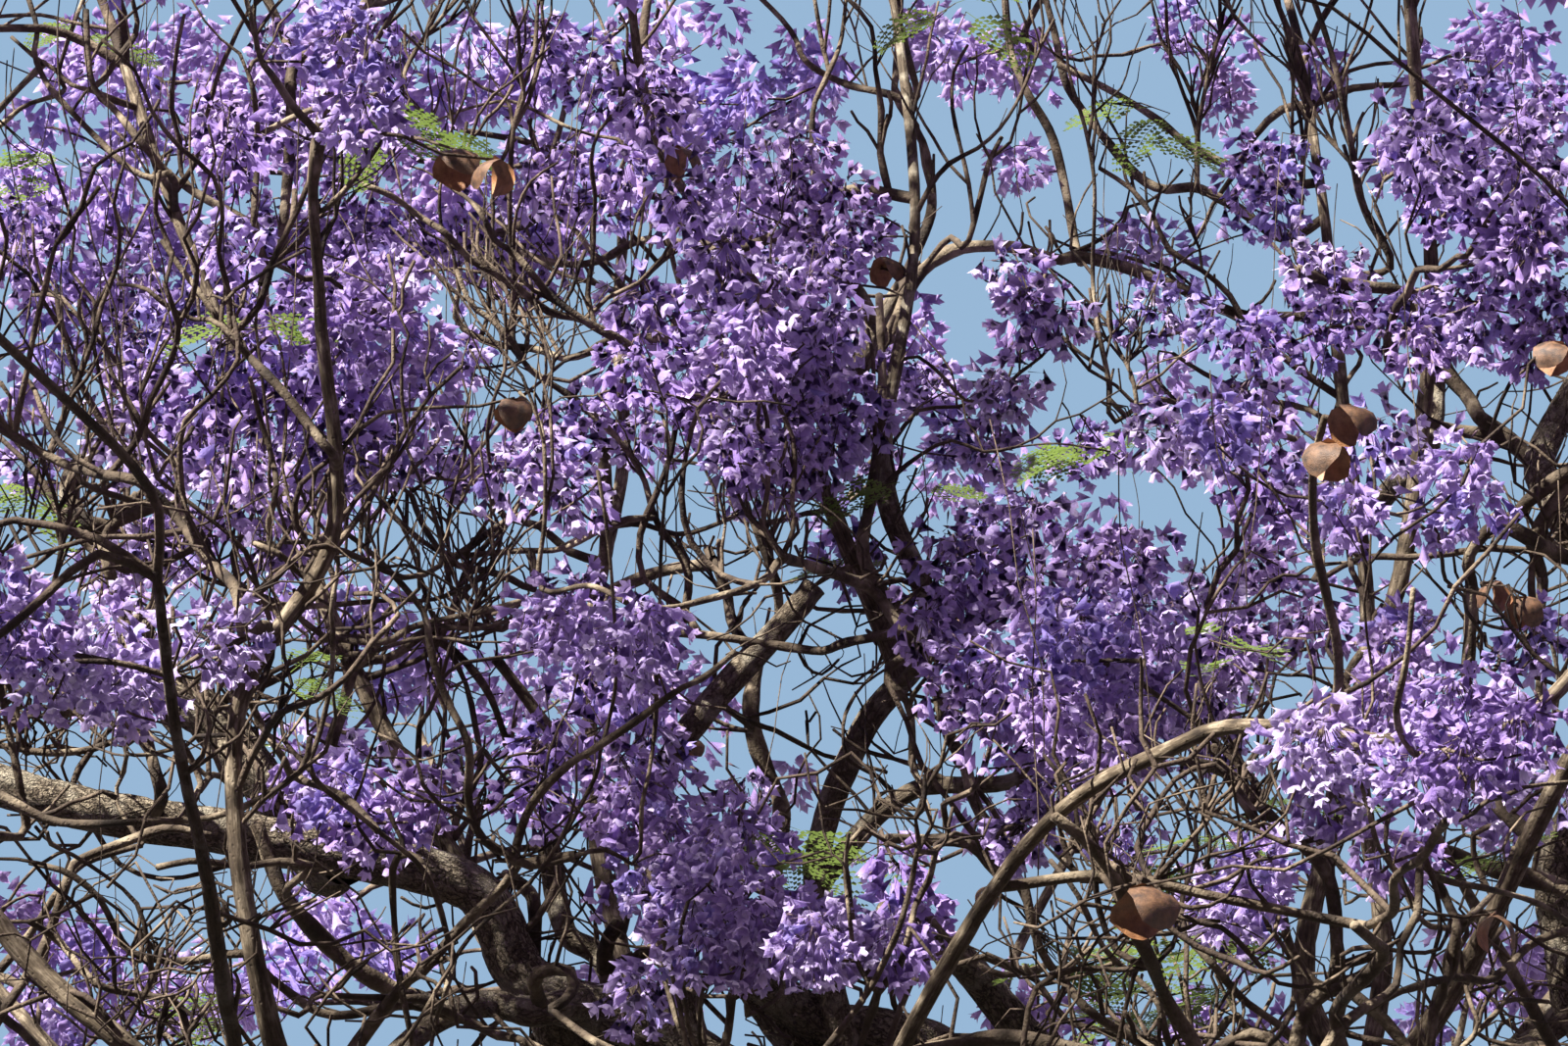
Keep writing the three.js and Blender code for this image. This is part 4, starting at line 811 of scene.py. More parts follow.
def tube(points, radii, sides, relief=None, pointed=0.5):
    """A tube with a closed tip round a row of points. radii are for each point, or each point and angle."""
    count = len(points)
    along, across, over = frames_along(points)
    cosines, sines = np.cos(turns(sides))[None, :], np.sin(turns(sides))[None, :]
    radii = np.broadcast_to(np.asarray(radii).reshape(count, -1), (count, sides))
    way = np.concatenate([[0], np.cumsum(np.linalg.norm(np.diff(points, axis=0), axis=1))])
    round_by = np.stack([cosines * radii, sines * radii], axis=-1)
    marks = np.concatenate([round_by, np.broadcast_to(way[:, None, None], (count, sides, 1))], axis=-1)
    if relief is not None:
        radii = radii + relief(marks.reshape(-1, 3), radii.ravel()).reshape(count, sides)
    out = cosines[..., None] * across[:, None, :] + sines[..., None] * over[:, None, :]
    corners = (points[:, None, :] + out * radii[..., None]).reshape(-1, 3)
    tip = points[-1] + along[-1] * radii[-1].mean() * pointed
    corners = np.vstack([corners, tip])
    marks = np.vstack([marks.reshape(-1, 3), [0, 0, way[-1]]])
    i = np.arange(count - 1)[:, None] * sides
    j = np.arange(sides)[None, :]
    k = (j + 1) % sides
    walls = np.stack([i + j, i + k, i + k + sides, i + j + sides], axis=-1).reshape(-1, 4)
    last = (count - 1) * sides
    cap = np.stack([last + j[0], last + k[0], np.full(sides, len(corners) - 1)], axis=-1)
    return corners, [walls, cap], marks


def disc_faces(rings, spokes):
    """Faces of a disc: a fan round the corner in its middle, and rings of walls round that."""
    j = np.arange(spokes)
    k = (j + 1) % spokes
    fan = np.stack([j * 0, 1 + j, 1 + k], 1)
    walls = [np.stack([first + j, first + spokes + j, first + spokes + k, first + k], 1)
             for first in range(1, 1 + (rings - 1) * spokes, spokes)]
    return [fan, np.vstack(walls)]


def sides_for(thick, limits):
    return next(sides for limit, sides in limits if thick < limit)


# Bark relief on the trunk and boughs
FURROW = dict(wide=0.024, long=0.085, deepest=0.0085, share=0.1, level=0.25, depth=0.85, sharpness=1.6)
PLATES = dict(scale=2.1, depth=0.35)
WARP = dict(size=0.45, scale=0.6)
LUMP = dict(size=0.21, share=0.085)
IN_VIEW = dict(across=0.0115, along=0.016)
OUT_OF_VIEW = dict(across=0.026, along=0.055)
BARK_SIDES = (10, 56)
LIMB_MARGIN, RING_MARGIN = 60, 80  # pixels round the photograph that count as in view
LOOKS = 41  # places along a limb that are looked at


def bark_relief(marks, radii):
    deep = np.minimum(FURROW["deepest"], FURROW["share"] * radii)
    stretch = np.array([1, 1, FURROW["wide"] / FURROW["long"]]) / FURROW["wide"]
    warp = WARP["size"] * noise(marks * stretch * WARP["scale"], 5)[:, None]
    furrow = 1 - 2 * np.abs(noise(marks * stretch + warp, 1))
    plates = 1 - 2 * np.abs(noise(marks * stretch * PLATES["scale"] + warp, 2))
    lumps = noise(marks / LUMP["size"], 3) * LUMP["share"] * radii
    furrowed = FURROW["level"] - FURROW["depth"] * np.clip(furrow, 0, 1) ** FURROW["sharpness"]
    return lumps + deep * (furrowed - PLATES["depth"] * np.clip(plates, 0, 1) ** 2)


# Limbs that the photograph shows slimmer than their solids: shares of the length, and of the radius there
SLIMMER = dict(
    bough_front_left=((0, 0.5, 0.65, 0.95, 1), (1, 1, 0.64, 0.56, 0.62)),
    bough_centre=((0, 0.42, 0.55, 0.9, 1), (1, 1, 0.66, 0.66, 0.9)),
    limb_lower_0=((0, 0.12, 0.9, 1), (1, 0.76, 0.76, 0.9)),
    limb_upper_0=((0, 0.35, 0.5, 0.9, 1), (1, 1, 0.66, 0.62, 0.9)),
    limb_middle_0=((0, 0.1, 0.25, 0.5, 0.65, 0.85, 0.95, 1), (1, 1, 0.72, 0.70, 0.55, 0.5, 0.8, 1)),
)


def slimmer(limb):
    shares, sizes = SLIMMER.get(limb["name"], ((0, 1), (1, 1)))
    return lambda share, angle: limb["radius"](share, angle) * np.interp(share, shares, sizes)


def tapering(foot, tip):
    return lambda share, angle: foot + (tip - foot) * share


def limb_mesh(line, radius, pile, pointed=0.5):
    """A limb with bark relief, finer where the photograph looks."""
    seen = in_view(line.at(np.linspace(0, 1, LOOKS)), LIMB_MARGIN).any()
    middle = float(np.mean(radius(np.array([0.5]), np.array([0.0]))))
    across = (IN_VIEW if seen else OUT_OF_VIEW)["across"]
    sides = int(np.clip(2 * np.pi * middle / across, *BARK_SIDES))
    shares, share = [], 0.0
    while share < 1:
        shares.append(share)
        fine = in_view(line.at(share), RING_MARGIN)[0]
        share += (IN_VIEW if fine else OUT_OF_VIEW)["along"] / line.length
    shares = np.array(shares + [1.0])
    radii = radius(shares[:, None], turns(sides)[None, :]) * np.ones((1, sides))
    pile.add(*tube(line.at(shares), radii, sides, bark_relief, pointed))


SAWN = dict(share=0.94, out=0.004, middle=0.4, rings=4, spokes=24)


def sawn_end(line, radius, pile):
    """A slightly dished face of cut wood on the end of a limb."""
    middle, along = line.at(1.0)[0], line.along(1.0)[0]
    aside, over = two_across(along, ASKEW)
    angles = turns(SAWN["spokes"])
    spokes = np.cos(angles)[:, None] * aside + np.sin(angles)[:, None] * over
    uneven = 1 + 0.03 * np.sin(3 * angles) + 0.02 * np.sin(7 * angles)
    corners = [middle + along * SAWN["out"] * SAWN["middle"]]
    for ring in range(1, SAWN["rings"] + 1):
        share = ring / SAWN["rings"]
        out = radius * SAWN["share"] * share * uneven
        high = -SAWN["out"]
        if ring < SAWN["rings"]:
            high = SAWN["out"] * (SAWN["middle"] + (1 - SAWN["middle"]) * share**3)
        corners += list(middle + along * high + out[:, None] * spokes)
    pile.add(np.array(corners), disc_faces(SAWN["rings"], SAWN["spokes"]))


# Twigs
MOST_POINTS = 90000
ON_LIMBS, INNER, NO_GROUP = -1, -2, -9
WAY_BACK, WAY_DOWN = 0.4, 0.9  # what a twig's way costs back along its limb, and downwards
TOO_NEAR = 0.07
NOT_ALLOWED, LAST_CHOICE = 1e6, 1e5


class Growth:
    """The points that a twig may leave from, and the twigs that leave them."""

    def __init__(self):
        self.place = np.zeros((MOST_POINTS, 3))
        self.toward = np.zeros((MOST_POINTS, 3))
        self.way = np.zeros(MOST_POINTS)
        self.group = np.full(MOST_POINTS, NO_GROUP)
        self.origin = np.full(MOST_POINTS, -1)
        self.load = np.zeros(MOST_POINTS)
        self.thick = np.zeros(MOST_POINTS)
        self.count = 0
        self.twigs = []

    def add(self, place, toward, way, group, origin=-1, thick=0.0):
        i = self.count
        self.place[i], self.toward[i], self.way[i] = place, toward, way
        self.group[i], self.origin[i], self.thick[i] = group, origin, thick
        self.count += 1
        return i

    def best_root(self, end, groups=(ON_LIMBS, INNER)):
        """The point in the groups that a new twig to end leaves from."""
        allowed = np.isin(self.group[: self.count], groups)
        apart = end - self.place[: self.count]
        far = np.linalg.norm(apart, axis=1)
        down = np.clip(-apart[:, 2] / np.maximum(far, 1e-6), 0, 1)
        way_back = WAY_BACK * self.way[: self.count]
        cost = far * (1 + WAY_DOWN * down) + way_back + np.where(allowed, 0, NOT_ALLOWED)
        return int(np.argmin(np.where(far < TOO_NEAR, LAST_CHOICE, cost)))

    def grow(self, root, points, group, load):
        """A twig from root through points. Its own points may carry further twigs."""
        path, way, last = [root], self.way[root], self.place[root]
        steps = unit(np.diff(np.vstack([self.place[root], points]), axis=0))
        for point, toward in zip(points, steps):
            way += np.linalg.norm(point - last)
            last = point
            path.append(self.add(point, toward, way, group, path[-1]))
        self.load[path[-1]] += load
        self.twigs.append(path)

    def in_group(self, group):
        return np.flatnonzero(self.group[: self.count] == group)

    def share_loads(self):
        for i in range(self.count - 1, -1, -1):
            if self.origin[i] >= 0:
                self.load[self.origin[i]] += self.load[i]


TWIG_TIP = 0.0029  # radius of a twig that carries one panicle
NEAR_STEMS = dict(depth=9.5, share=0.62)  # the twigs of the nearest masses are slim in the photograph
BARE_LOAD = 0.3  # what a bare twig weighs, where a panicle is 1
RISES = 0.45  # how much a twig turns up at its tip
LEAVING = dict(toward=0.5, ahead=0.7, up=0.2, share=0.36)
ARRIVING = 0.32


def crooked_way(start, toward, end, step, crook, rng, rises=RISES):
    """Points on the way from start to end, leaving and arriving with a turn upwards, knocked crooked."""
    span = np.linalg.norm(end - start)
    ahead = (end - start) / max(span, 1e-6)
    leaves = unit(LEAVING["toward"] * toward + LEAVING["ahead"] * ahead + LEAVING["up"] * UP)
    leaving = start + leaves * span * LEAVING["share"]
    arriving = end - unit(ahead + rises * UP) * span * ARRIVING
    count = max(2, round(span / step))
    points = arched_line(start, leaving, arriving, end).at(np.arange(1, count + 1) / count)
    knocks = rng.normal(size=points.shape) * crook * step
    knocks[-1] = 0
    return points + knocks


POINT_STEP = 0.06  # between the points of a limb that twigs may leave from
growth = Growth()
limb_points, limb_radii = [], []
for limb in limbs.values():
    shares = np.linspace(0, 1, max(3, int(limb["line"].length / POINT_STEP)))
    places, towards = limb["line"].at(shares), limb["line"].along(shares)
    radii = limb["radius"](shares, 0.0)
    limb_points.append(places)
    limb_radii.append(radii)
    if limb["name"] == "trunk":
        continue
    for place, toward, radius in zip(places, towards, radii):
        growth.add(place, toward, 0.0, ON_LIMBS, thick=radius)
limb_points, limb_radii = np.concatenate(limb_points), np.concatenate(limb_radii)


def clear_of_limbs(point, room):
    apart = np.linalg.norm(point - limb_points, axis=1)
    return (apart > limb_radii + room).all()


# Inner limbs
JOIN = dict(step=0.22, crook=0.12, rises=0.1)  # how a limb is joined to one that is not at its foot
JOINED_OVER = 0.16
UNEVEN_DEPTH = 0.03
INNER_STEP, INNER_WAY = 0.07, 0.25
inner_lines = []
rng = np.random.default_rng(11)
for deep_foot, deep_tip, wide_foot, wide_tip, pixels in INNER_LIMBS:
    depths = np.linspace(deep_foot, deep_tip, len(pixels))
    depths[1:] += rng.normal(size=len(pixels) - 1) * UNEVEN_DEPTH
    points = np.array([from_photo(x, y, depth) for (x, y), depth in zip(pixels, depths)])
    root = growth.best_root(points[0])
    start = growth.place[root]
    joined = []
    if np.linalg.norm(points[0] - start) > JOINED_OVER:
        joined = crooked_way(start, growth.toward[root], points[0], rng=rng, **JOIN)[:-1]
    line = smooth_line([start, *joined, *points])
    foot, tip = np.array([wide_foot * deep_foot, wide_tip * deep_tip]) / PIXELS / 2
    inner_lines.append((line, foot, tip))
    shares = np.linspace(0, 1, max(4, int(line.length / INNER_STEP)))[1:]
    radii = tapering(foot, tip)(shares, 0)
    for share, place, toward, radius in zip(shares, line.at(shares), line.along(shares), radii):
        growth.add(place, toward, INNER_WAY * share * line.length, INNER, thick=radius)


# Crooked limbs that wander across the view, each set growing on the ones before
wanderers = []
THICK_BOUGH = 0.035
BESIDE = 6  # pixels beside a thick bough that still count as in front of it
MAY_HIDE = 0.15  # share of the ways in front of a thick bough that are kept
stout = limb_radii > THICK_BOUGH
stout_across, stout_down, stout_depth = to_photo(limb_points[stout])
stout_wide = limb_radii[stout] * PIXELS / stout_depth


def hides_a_bough(way):
    """Whether a way passes in front of a thick bough."""
    across, down, depth = to_photo(way)
    near = np.hypot(across[:, None] - stout_across, down[:, None] - stout_down) < stout_wide + BESIDE
    return (near & (depth[:, None] < stout_depth)).any()


def wander(start, toward, length, step, turn, lift, rng):
    """Points on a way that turns at random, rises by lift and keeps across the view."""
    points, place, heads = [], start, toward
    for _ in range(max(3, round(length / step))):
        heads = unit(heads + turn * rng.normal(size=3) + lift * UP - 0.3 * (heads @ AHEAD) * AHEAD)
        place = place + heads * step
        points.append(place)
    return np.array(points)


FROM = dict(across=(-80, 1680), down=(-40, 1200), farthest=12.4)  # where a wandering limb may start
CROWDED, THINNED, IN_A_CLUMP = 1.6, 0.85, 0.5
CELL = 90  # pixels across and down a square whose points share one weight
WANDERER_WAY = 0.3  # how far along a limb its points count as
WANDERER_SHARE = 0.9  # its thickness at the foot is at most this share of what it leaves


def start_weights(across, down, lower):
    """How likely a limb is to start at each place. lower asks for more of them low and at the left."""
    weight = 0.35 + lower * np.clip(down / PHOTO_TALL, 0, 1) ** 2 * (1.5 - np.clip(across / PHOTO_WIDE, 0, 1))
    for x, y, reach in TANGLES:
        weight += CROWDED * np.exp(-((across - x) ** 2 + (down - y) ** 2) / reach**2)
    for x, y, reach in ROOMY:
        weight *= 1 - THINNED * np.exp(-((across - x) ** 2 + (down - y) ** 2) / reach**2)
    for x, y, wide, tall, _ in CLUMPS:
        weight[((across - x) / wide) ** 2 + ((down - y) / tall) ** 2 < 1.0] *= IN_A_CLUMP
    cells = (across // CELL).astype(int) * 100 + (down // CELL).astype(int)
    _, which, crowd = np.unique(cells, return_inverse=True, return_counts=True)
    weight /= crowd[which]
    return weight / weight.sum()


def crossing_limbs(rng, count, radius, length, step, turn, lift, lower, thins=(0.45, 0.65), nearest=7.6):
    """Limbs that start in the view and spread over it, straighter and more upright the higher they are."""
    across, down, depth = to_photo(growth.place[: growth.count])
    seen = (depth > nearest) & (depth < FROM["farthest"])
    for value, (low, high) in ((across, FROM["across"]), (down, FROM["down"])):
        seen &= (value > low) & (value < high)
    here = np.flatnonzero(seen & (growth.thick[: growth.count] > radius[0]))
    across, down, _ = to_photo(growth.place[here])
    made = 0
    for pick in rng.choice(len(here), 3 * count, p=start_weights(across, down, lower)):
        if made == count:
            break
        root, high = here[pick], 1 - np.clip(down[pick] / PHOTO_TALL, 0, 1)
        aside = unit(rng.normal() * RIGHT + 0.8 * rng.normal() * ABOVE + 0.3 * rng.normal() * AHEAD)
        heads = unit(aside + 0.5 * growth.toward[root] + (4 * lift + 0.7 * high) * UP)
        bend = turn * (1.15 - 0.75 * high)
        way = wander(growth.place[root], heads, rng.uniform(*length), step, bend, lift * (1 + high), rng)
        if hides_a_bough(way) and rng.uniform() > MAY_HIDE:
            continue
        made += 1
        foot = min(rng.uniform(*radius), WANDERER_SHARE * growth.thick[root])
        tip = foot * rng.uniform(*thins)
        points = np.vstack([growth.place[root], way])
        wanderers.append((points, foot, tip))
        for point, ahead, thick in zip(way, unit(np.diff(points, axis=0)), np.linspace(foot, tip, len(way))):
            growth.add(point, ahead, WANDERER_WAY, INNER, thick=thick)


rng = np.random.default_rng(15)
crossing_limbs(rng, 40, (0.008, 0.012), (0.5, 1.0), step=0.11, turn=0.42, lift=0.05, lower=1.0, nearest=9.8)
crossing_limbs(rng, 330, (0.0048, 0.0080), (0.3, 0.8), step=0.085, turn=0.50, lift=0.08, lower=0.4)

# Panicles
NEAR, SEEN, FAR = 0, 1, 2  # grades of detail
Panicle = namedtuple("Panicle", "place axis wide tall grade bells tint scale")
TINTS = ("pale", "lilac", "mauve", "violet", "blue")
TINT_SHARES = (0.17, 0.27, 0.24, 0.17, 0.15)
PANICLE = dict(wide=0.072, tall=0.088, bells=20, hangs=0.05, uneven_depth=0.10, clump_tint=0.7)
CLUMP_FILL, CLUMP_TRIES = 1.45, 6
CLUMP_TWIG = dict(step=0.085, crook=0.13)
FULL_SIZE_DEPTH = 10.3
NEAR_DEPTH, FAR_DEPTH = 10.0, 12.3
panicles = []


def spread_in_clump(clump, rng):
    """Places of the panicles of a clump, each the roomiest of a few tries, and the clump's tint."""
    across, down, half_wide, half_tall, depth = clump
    size = depth / PIXELS
    area = math.pi * half_wide * half_tall * size**2
    count = max(2, round(CLUMP_FILL * area / (math.pi * PANICLE["wide"] * PANICLE["tall"])))
    edge = 0.75 * PANICLE["wide"] / size
    half_wide, half_tall = (max(half - edge, 0.2 * half) for half in (half_wide, half_tall))
    tint = rng.choice(len(TINTS), p=TINT_SHARES)
    placed = []
    for _ in range(count):
        tries = []
        for _ in range(CLUMP_TRIES):
            turn, out = rng.uniform(0, 2 * np.pi), math.sqrt(rng.uniform())
            x, y = across + half_wide * out * math.cos(turn), down + half_tall * out * math.sin(turn)
            place = from_photo(x, y, depth + rng.normal() * PANICLE["uneven_depth"])
            gap = min((np.linalg.norm(place - other) for other in placed), default=9)
            tries.append((gap, place))
        placed.append(max(tries, key=lambda one: one[0])[1])
    return placed, tint


rng = np.random.default_rng(21)
for clump in sorted(CLUMPS, key=lambda clump: clump[4]):
    depth = clump[4]
    placed, tint = spread_in_clump(clump, rng)
    grade = NEAR if depth < NEAR_DEPTH else SEEN if depth < FAR_DEPTH else FAR
    small = min(1.0, depth / FULL_SIZE_DEPTH)
    for place in placed:
        end = place - PANICLE["hangs"] * UP
        root = growth.best_root(end)
        way = crooked_way(growth.place[root], growth.toward[root], end, rng=rng, **CLUMP_TWIG)
        growth.grow(root, way, INNER, 1.0)
        axis = unit(growth.toward[growth.count - 1] + 0.6 * UP)
        own = tint if rng.uniform() < PANICLE["clump_tint"] else rng.choice(len(TINTS), p=TINT_SHARES)
        bells = round(PANICLE["bells"] / small**2)
        panicles.append(Panicle(place, axis, PANICLE["wide"], PANICLE["tall"], grade, bells, own, small))

# Bare twigs that cross in the view
rng = np.random.default_rng(31)
crossing_limbs(rng, 650, (0.0034, 0.0052), (0.2, 0.5), step=0.062, turn=0.50, lift=0.12, lower=0.2)
crossing_limbs(rng, 610, (0.0025, 0.0036), (0.1, 0.3), step=0.055, turn=0.46, lift=0.16, lower=0.0)
crossing_limbs(rng, 620, (0.0036, 0.0056), (0.05, 0.17), step=0.035, turn=0.50, lift=0.20, lower=0.2,
               thins=(0.85, 1.1))


TWIGLET = dict(crook=0.14, rises=0.5)


def twiglets(group, here, count, length, rng, upright, step):
    """Short bare twigs on some of the points of a group."""
    for root in rng.choice(here, count):
        way = rng.uniform(*length)
        heads = unit(unit(rng.normal(size=3)) + 0.5 * growth.toward[root] + upright * UP)
        end = growth.place[root] + heads * way
        points = crooked_way(growth.place[root], growth.toward[root], end, step, rng=rng, **TWIGLET)
        growth.grow(root, points, group, BARE_LOAD)


here = growth.in_group(INNER)
twiglets(INNER, here[in_view(growth.place[here], 40)], 420, (0.05, 0.2), rng, upright=0.55, step=0.07)

# Long upright shoots
SHOOT = dict(step=0.16, crook=0.05, rises=0.9)
SHOOTS, SHOOT_LEAN, SHOOT_LENGTH = 90, 0.16, (0.5, 1.3)
for _ in range(SHOOTS):
    here = growth.in_group(INNER)
    root = rng.choice(here[in_view(growth.place[here])])
    lean = rng.normal(size=3) * SHOOT_LEAN
    end = growth.place[root] + unit(UP + lean) * rng.uniform(*SHOOT_LENGTH)
    growth.grow(root, crooked_way(growth.place[root], UP, end, rng=rng, **SHOOT), INNER, BARE_LOAD)

# The masses: twigs that branch from one stem, with a panicle at each end
MASS = dict(panicles=34, tries=420, inner=0.38, flat=0.88, edge=0.14, room=0.09, apart=0.2, off_limbs=0.11)
CROWN_PANICLE = dict(wide=0.135, tall=0.165, grade=FAR, bells=42, scale=1.24)
SEEN_PANICLE = dict(wide=0.12, tall=0.14, grade=FAR, bells=34, scale=1.0)
MASS_TWIG = dict(step=0.13, crook=0.11)
BEHIND_DEPTH = 12.6  # nearer than this a mass would hide what the photograph shows
NEAR_TWIGS = 9  # depth within which even a twig would hide it
CAD_LOW, CAD_HIGH = (np.array(corner, float) for corner in cad_box)


def point_in_reach(rng, mass):
    turn, rise = rng.uniform(0, 2 * np.pi), rng.uniform(-1, 1)
    flat = math.sqrt(1 - rise * rise)
    share = MASS["inner"] + (1 - MASS["inner"]) * math.sqrt(rng.uniform())
    out = mass["reach"] * share - MASS["edge"]
    way = np.array([flat * math.cos(turn), flat * math.sin(turn), MASS["flat"] * rise])
    return mass["centre"] + out * way


def hides_the_view(place, reach):
    """Whether something here would stand in front of what the photograph shows, or in its open sky."""
    across, down, depth = (float(value) for value in to_photo(place))
    size = reach * PIXELS / max(depth, 0.5)
    inside = -size < across < PHOTO_WIDE + size and -size < down < PHOTO_TALL + size
    if not inside or depth < 0.5:
        return False
    if depth < BEHIND_DEPTH:
        return True
    if any(math.hypot(across - x, down - y) < radius + 0.62 * size for x, y, radius in OPEN_SKY):
        return True
    behind = ((across - x) ** 2 / wide**2 + (down - y) ** 2 / tall**2 < 1 for x, y, wide, tall, _ in CLUMPS)
    return not any(behind)


def has_room(place, own, placed):
    """Whether a panicle may hang here: in its own mass's space, in the box, off the others and the limbs."""
    if inside_own_space(place, own) < MASS["room"] or (place < CAD_LOW).any() or (place > CAD_HIGH).any():
        return False
    if placed and np.linalg.norm(np.array(placed) - place, axis=1).min() < MASS["apart"]:
        return False
    return clear_of_limbs(place, MASS["off_limbs"]) and not hides_the_view(place, MASS["edge"])


def fill_mass(number, limb):
    rng = np.random.default_rng(101 + number)
    own = masses[limb["to"]]
    tip, toward = limb["line"].at(1.0)[0], limb["line"].along(1.0)[0]
    stem = smooth_line([tip, tip + toward * own["reach"] * STEM_BEND, own["centre"]])
    root = growth.add(tip - toward * 0.02, toward, 0.0, number)
    growth.grow(root, stem.at(np.linspace(0, 1, 7)[1:]), number, 0.0)
    placed = []
    for _ in range(MASS["tries"]):
        if len(placed) >= MASS["panicles"]:
            break
        place = point_in_reach(rng, own)
        if not has_room(place, own, placed):
            continue
        root = growth.best_root(place, [number])
        way = crooked_way(growth.place[root], growth.toward[root], place, rng=rng, **MASS_TWIG)
        middle = way.mean(axis=0)
        if hides_the_view(middle, 0.0) and to_photo(middle)[2] < NEAR_TWIGS:
            continue
        placed.append(place)
        growth.grow(root, way, number, 1.0)
        axis = unit(growth.toward[growth.count - 1] + 0.5 * UP)
        tint = rng.choice(len(TINTS), p=TINT_SHARES)
        size = SEEN_PANICLE if in_view(place, 60) else CROWN_PANICLE
        panicles.append(Panicle(place, axis, tint=tint, **size))
    twiglets(number, growth.in_group(number), 26, (0.10, 0.32), rng, upright=0.4, step=0.11)


for number, limb in enumerate(limb for limb in limbs.values() if limb["to"] in masses):
    fill_mass(number, limb)
growth.share_loads()


# Twig meshes, of as many sides as their thickness asks for
TWIG_SIDES = ((0.004, 3), (0.008, 4), (0.012, 5), (math.inf, 7))
WANDERER_SIDES = ((0.0028, 3), (0.0045, 4), (0.008, 6), (math.inf, 8))
KNOTS = dict(swell=0.20, closeness=0.7)
LUMPS = dict(swell=0.16, long=0.07)
SMOOTH_OVER = 0.0065
ROUGH_OVER = 0.03  # radius from which an inner limb has the boughs' rough bark
twig_pile, inner_pile, inner_limb_pile, rough_pile = (Pile() for _ in range(4))


def halved(points):
    """Shares of the way at each point and half way between them."""
    return np.linspace(0, 1, 2 * len(points) - 1)


def along_x(places, number=0):
    return np.stack([places, places * 0, places * 0 + number], 1)


def twig_mesh(path):
    points = growth.place[path]
    radii = TWIG_TIP * np.maximum(growth.load[path], BARE_LOAD) ** 0.5
    radii[0] = radii[1]
    group = growth.group[path[-1]]
    seen = in_view(points, LIMB_MARGIN).any()
    if group >= 0 and growth.origin[path[1]] == path[0] and growth.way[path[0]] == 0:
        radii = np.maximum(radii, np.linspace(THICK["tip"], radii[-1], len(radii)))
    if group >= 0 and seen and to_photo(points)[2].mean() < NEAR_STEMS["depth"]:
        radii = radii * NEAR_STEMS["share"]
    if seen and len(points) > 2:
        radii = np.interp(halved(points), np.linspace(0, 1, len(points)), radii)
        points = smooth_line(points).evaluate(halved(points))
    pile = inner_pile if group == INNER else twig_pile
    pile.add(*tube(points, radii, sides_for(radii.max(), TWIG_SIDES)))


def wanderer_mesh(number, points, foot, tip):
    if len(points) > 3 and foot > SMOOTH_OVER:
        points = smooth_line(points).evaluate(halved(points))
    shares = np.linspace(0, 1, len(points))
    knots = noise(along_x(shares * len(points) * KNOTS["closeness"], number), 9)
    radii = tapering(foot, tip)(shares, 0) * (1 + KNOTS["swell"] * knots)
    inner_pile.add(*tube(points, radii, sides_for(foot, WANDERER_SIDES)))


def inner_limb_mesh(line, foot, tip):
    if foot > ROUGH_OVER:
        limb_mesh(line, tapering(foot, tip), rough_pile)
        return
    shares = np.linspace(0, 1, max(4, int(line.length / 0.035)))
    lumps = 1 + LUMPS["swell"] * noise(along_x(shares * line.length / LUMPS["long"]), int(line.length * 1000))
    inner_limb_pile.add(*tube(line.at(shares), tapering(foot, tip)(shares, 0) * lumps, 8))


for path in growth.twigs:
    twig_mesh(path)
for number, wanderer in enumerate(wanderers):
    wanderer_mesh(number, *wanderer)
for inner_line in inner_lines:
    inner_limb_mesh(*inner_line)

# Bells
BELL_LONG = 0.057
BELL_SIZES = (0.82, 1.12)
VARIANTS = 5
FIFTH = 2 * np.pi / 5
LONG_LOBES = (1, 2, 3)
THROAT = ((0.055, 0.0), (0.12, 0.30), (0.21, 0.74))  # radius and height of the rings of a near bell
GOLDEN_TURN = 2.39996
STRAYS = 0.28  # share of the bells whose tint is drawn anew, where the others have their panicle's
PANICLE_ASKEW, STALK_ASKEW = (0.3, 0.8, 0.1), (0.2, 0.3, 0.9)
LOBE = dict(lower=0.16, upper=-0.08, uneven=0.1, out=0.08, high=0.06)
# The corners of a lobe: turn as a share of a fifth, radius and height, with the notch last
LOBES = {
    NEAR: ((0.15, 0.32, 0.95), (0.5, 0.39, 0.99), (0.85, 0.32, 0.95), (1.0, 0.25, 0.87)),
    SEEN: ((0.22, 0.36, 0.95), (0.78, 0.36, 0.95), (1.0, 0.25, 0.87)),
}


def along_three(local, first, second, third):
    """Places given along three directions."""
    return local[..., :1] * first + local[..., 1:2] * second + local[..., 2:] * third


def bell_ring(rng, radius, height, count=5, turned=0.0, ruffled=0.0):
    angles = 2 * np.pi / count * (np.arange(count) + turned)
    radii = radius * (1 + ruffled * rng.normal(size=count))
    heights = height + 0.12 * ruffled * rng.normal(size=count)
    return np.stack([radii * np.cos(angles), radii * np.sin(angles), heights], axis=1)


def bell_mouth(rng, grade):
    """Corners of the five lobes, the lower three longer."""
    corners = []
    for i in range(5):
        long = 1 + LOBE["lower" if i in LONG_LOBES else "upper"] + LOBE["uneven"] * rng.normal()
        for turned, radius, height in LOBES[grade]:
            angle = FIFTH * (i + turned)
            out = radius * (long if turned < 1 else 1) * (1 + LOBE["out"] * rng.normal())
            high = height + LOBE["high"] * rng.normal()
            corners.append((out * math.cos(angle), out * math.sin(angle), high))
    return corners


def tube_faces(first, second):
    """Triangles from a ring of five to a ring of five."""
    i = np.arange(5)
    j = (i + 1) % 5
    lower, upper = (first + i, first + j, second + j), (first + i, second + j, second + i)
    return np.vstack([np.stack(lower, 1), np.stack(upper, 1)])


